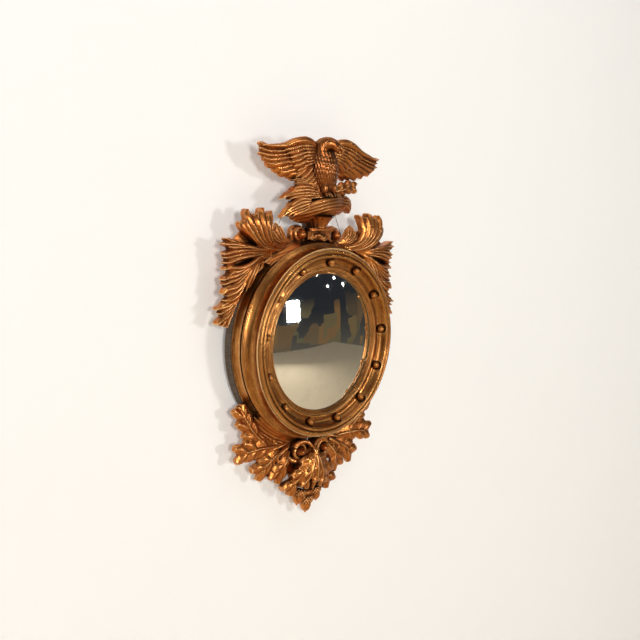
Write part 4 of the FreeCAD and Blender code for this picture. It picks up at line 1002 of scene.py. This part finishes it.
TAIL = [
    [(20, 302, 48), (-10, 312, 46), (-42, 320, 40), (-76, 324, 31)],
    [(20, 297, 50), (-10, 303, 49), (-40, 309, 43), (-71, 312, 32)],
    [(18, 293, 50), (-10, 296, 50), (-38, 299, 44), (-64, 300, 33)],
]
RIM_SWIRL = [
    [(-82, 260, 38), (-55, 268, 53), (-24, 279, 62), (15, 287, 61), (66, 288, 43)],
    [(-80, 252, 38), (-52, 259, 52), (-20, 269, 63), (20, 277, 62), (76, 279, 41)],
    [(-66, 246, 34), (-40, 252, 48), (-12, 260, 58), (24, 267, 58), (82, 269, 38)],
    [(-42, 244, 30), (-22, 248, 42), (0, 253, 49), (28, 258, 49), (66, 261, 34)],
]
RIM_END = [
    [(50, 291, 46), (70, 291, 44), (86, 285, 38), (90, 274, 35)],
    [(50, 284, 50), (70, 283, 48), (86, 276, 41), (91, 264, 34)],
    [(48, 276, 52), (66, 274, 49), (82, 266, 41), (86, 257, 34)],
]
UPPER_TIP = [
    [(-10, 301, 48), (-42, 308, 47), (-70, 304, 42), (-97, 291, 33)],
    [(-12, 294, 54), (-44, 296, 52), (-74, 292, 45), (-104, 283, 32)],
    [(-14, 288, 57), (-42, 286, 54), (-66, 282, 47), (-92, 278, 33)],
]
LOWER_TIP = [
    [(-44, 284, 56), (-62, 283, 53), (-80, 274, 46), (-94, 260, 36)],
    [(-46, 276, 57), (-62, 270, 55), (-82, 261, 47), (-104, 246, 33)],
    [(-48, 268, 56), (-60, 260, 53), (-74, 253, 45), (-90, 246, 34)],
]


def perch():
    """The leafy dish that the eagle stands on."""
    work = Carving()
    work.lump((0, 273, 34), (76, 15, 24))
    work.lump((0, 258, 34), (48, 10, 21))
    work.lump((0, 290, 34), (52, 9, 20))
    work.fan(RIM_SWIRL, 6, (1.0, 0.97), relief=4.6, thick=14, tip=0.08, stations=40, power=1.5)
    work.line(RIM_SWIRL[0], (3.0, 4.5, 5.0, 4.5, 3.5), 4.0, 12, 40)
    work.fan(RIM_END, 4, (1.0, 0.93), relief=5.0, thick=12, tip=0.2)
    work.finish("platform_carving", "platform")


def left_sprig():
    work = Carving()
    for guides in (UPPER_TIP, LOWER_TIP):
        work.fan(guides, 5, (0.84, 0.96, 1.0, 0.88, 0.80), relief=5.5, thick=12, tip=0.22,
                 stations=32, uneven=1.0, hook=3.0)
    work.finish("platform_sprig_carving_left", "platform_sprig_left")


def right_sprig():
    work = Carving()
    work.leaf(((24, 297, 38), (50, 305, 42), (78, 312, 40), (107, 313, 31)), 17, 4, angle=34.0)
    work.finish("platform_sprig_carving_right", "platform_sprig_right")


def tail():
    work = Carving()
    work.fan(TAIL, 7, (0.92, 1.0), relief=4.5, thick=9, tip=0.2)
    work.finish("eagle_tail_carving", "eagle_tail", voxel=1.1)


URN_AXIS = 26.0        # depth of the urn's middle
URN_FOOT = 19.5        # radius at the foot
URN_FLARE = 15.0       # and how much wider it is at the lip
GADROONS = 16
GADROON_DEPTH = 2.4


def urn():
    """The bowl under the platform, worked with upright gadroons and flat at the back."""
    low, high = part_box("urn")
    verts = []
    rows, round_by = 26, 192
    for i in range(rows):
        t = i / (rows - 1)
        z = low[2] / MM + (high[2] - low[2]) / MM * t
        r = URN_FOOT + URN_FLARE * t ** 1.3 + (1.5 if t > 0.92 else 0.0)
        deep = max(0.0, sin(pi * min(max((t - 0.06) / 0.82, 0.0), 1.0)))
        for j in range(round_by):
            a = tau * j / round_by
            groove = 1.0 - abs(sin(a * GADROONS / 2)) ** 0.6
            here = r - GADROON_DEPTH * deep ** 0.4 * groove
            verts.append((here * cos(a), z, max(FLAT_BACK, URN_AXIS + here * sin(a))))
    faces = ring_faces(0, rows, round_by)
    faces.append(tuple(reversed(range(round_by))))
    faces.append(tuple(range((rows - 1) * round_by, rows * round_by)))
    dress(shaped("urn_carving", verts, faces, outward=False), "urn")


GLASS_CURVE = 620.0    # radius of the glass's dome
GLASS_THICK = 4.0


def glass():
    """The convex glass as a fine dome, so that what it shows bends evenly."""
    low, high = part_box("mirror_glass")
    edge = high[0] / MM
    apex = -low[1] / MM
    rows, round_by = 40, 160
    verts = []
    faces = []
    for curve, top in ((GLASS_CURVE, apex), (GLASS_CURVE - GLASS_THICK, apex - GLASS_THICK)):
        first = len(verts)
        verts.append((0.0, 0.0, top))
        for i in range(1, rows + 1):
            r = edge * i / rows
            depth = top - curve + sqrt(curve * curve - r * r)
            for j in range(round_by):
                a = tau * j / round_by
                verts.append((r * cos(a), r * sin(a), depth))
        for j in range(round_by):
            faces.append((first, first + 1 + j, first + 1 + (j + 1) % round_by))
        faces.extend(ring_faces(first + 1, rows, round_by))
    per_side = len(verts) // 2
    last = 1 + (rows - 1) * round_by
    for j in range(round_by):
        a = last + j
        b = last + (j + 1) % round_by
        faces.append((a, a + per_side, b + per_side, b))
    thing = shaped("glass_dome", verts, faces)
    dress(thing, "mirror_glass", SILVER)
    thing.data.set_sharp_from_angle(angle=radians(40))


PANEL_LEAF = [
    [(0, 203, 35), (1, 209, 38), (1, 214, 39), (0, 220, 36)],
    [(2, 203, 35), (8, 207, 38), (13, 212, 38), (15, 219, 35)],
    [(4, 202, 34), (14, 203, 37), (22, 207, 37), (27, 214, 35)],
]


def plinth_leaf():
    """The upright leaf carved on the panel between the volutes."""
    work = Carving()
    for guides in (PANEL_LEAF, mirrored(PANEL_LEAF)):
        work.fan(guides, 4, (1.0, 0.88), relief=3.0, thick=4, tip=0.3, least=1.2)
    work.finish("plinth_leaf", voxel=0.9, smooth=2)


# ---- hanging wire
WIRE_DIAMETER = 0.0016
WIRE_ROUTE = [(-0.1099, -0.006, 0.1856), (-0.1050, -0.006, 0.1944), (-0.0570, -0.006, 0.2850),
              (-0.0029, -0.006, 0.3851), (0.0029, -0.006, 0.3851), (0.0570, -0.006, 0.2850),
              (0.1050, -0.006, 0.1944), (0.1099, -0.006, 0.1856)]


def hanging_wire():
    """The wire's real run: from one screw eye up behind the eagle and down to the other."""
    data = bpy.data.curves.new("wire", "CURVE")
    data.dimensions = "3D"
    data.bevel_depth = WIRE_DIAMETER / 2
    data.bevel_resolution = 3
    data.resolution_u = 12
    line = data.splines.new("NURBS")
    line.points.add(len(WIRE_ROUTE) - 1)
    for point, place in zip(line.points, WIRE_ROUTE):
        point.co = place + (1.0,)
    line.order_u = 3
    line.use_endpoint_u = True
    wire = placed("wire", data)
    data.materials.append(WIRE)
    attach(wire, "root")
    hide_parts("hanging_wire")


hanging_wire()
glass()
for is_left in (True, False):
    crest(is_left)
    crest_sprig(is_left)
for carve in (apron, apron_scroll):
    carve(True)
    carve(False)
drop()
acorns()
wing(True)
wing(False)
eagle()
eagle_head()
tail()
perch()
left_sprig()
right_sprig()
urn()
plinth_leaf()
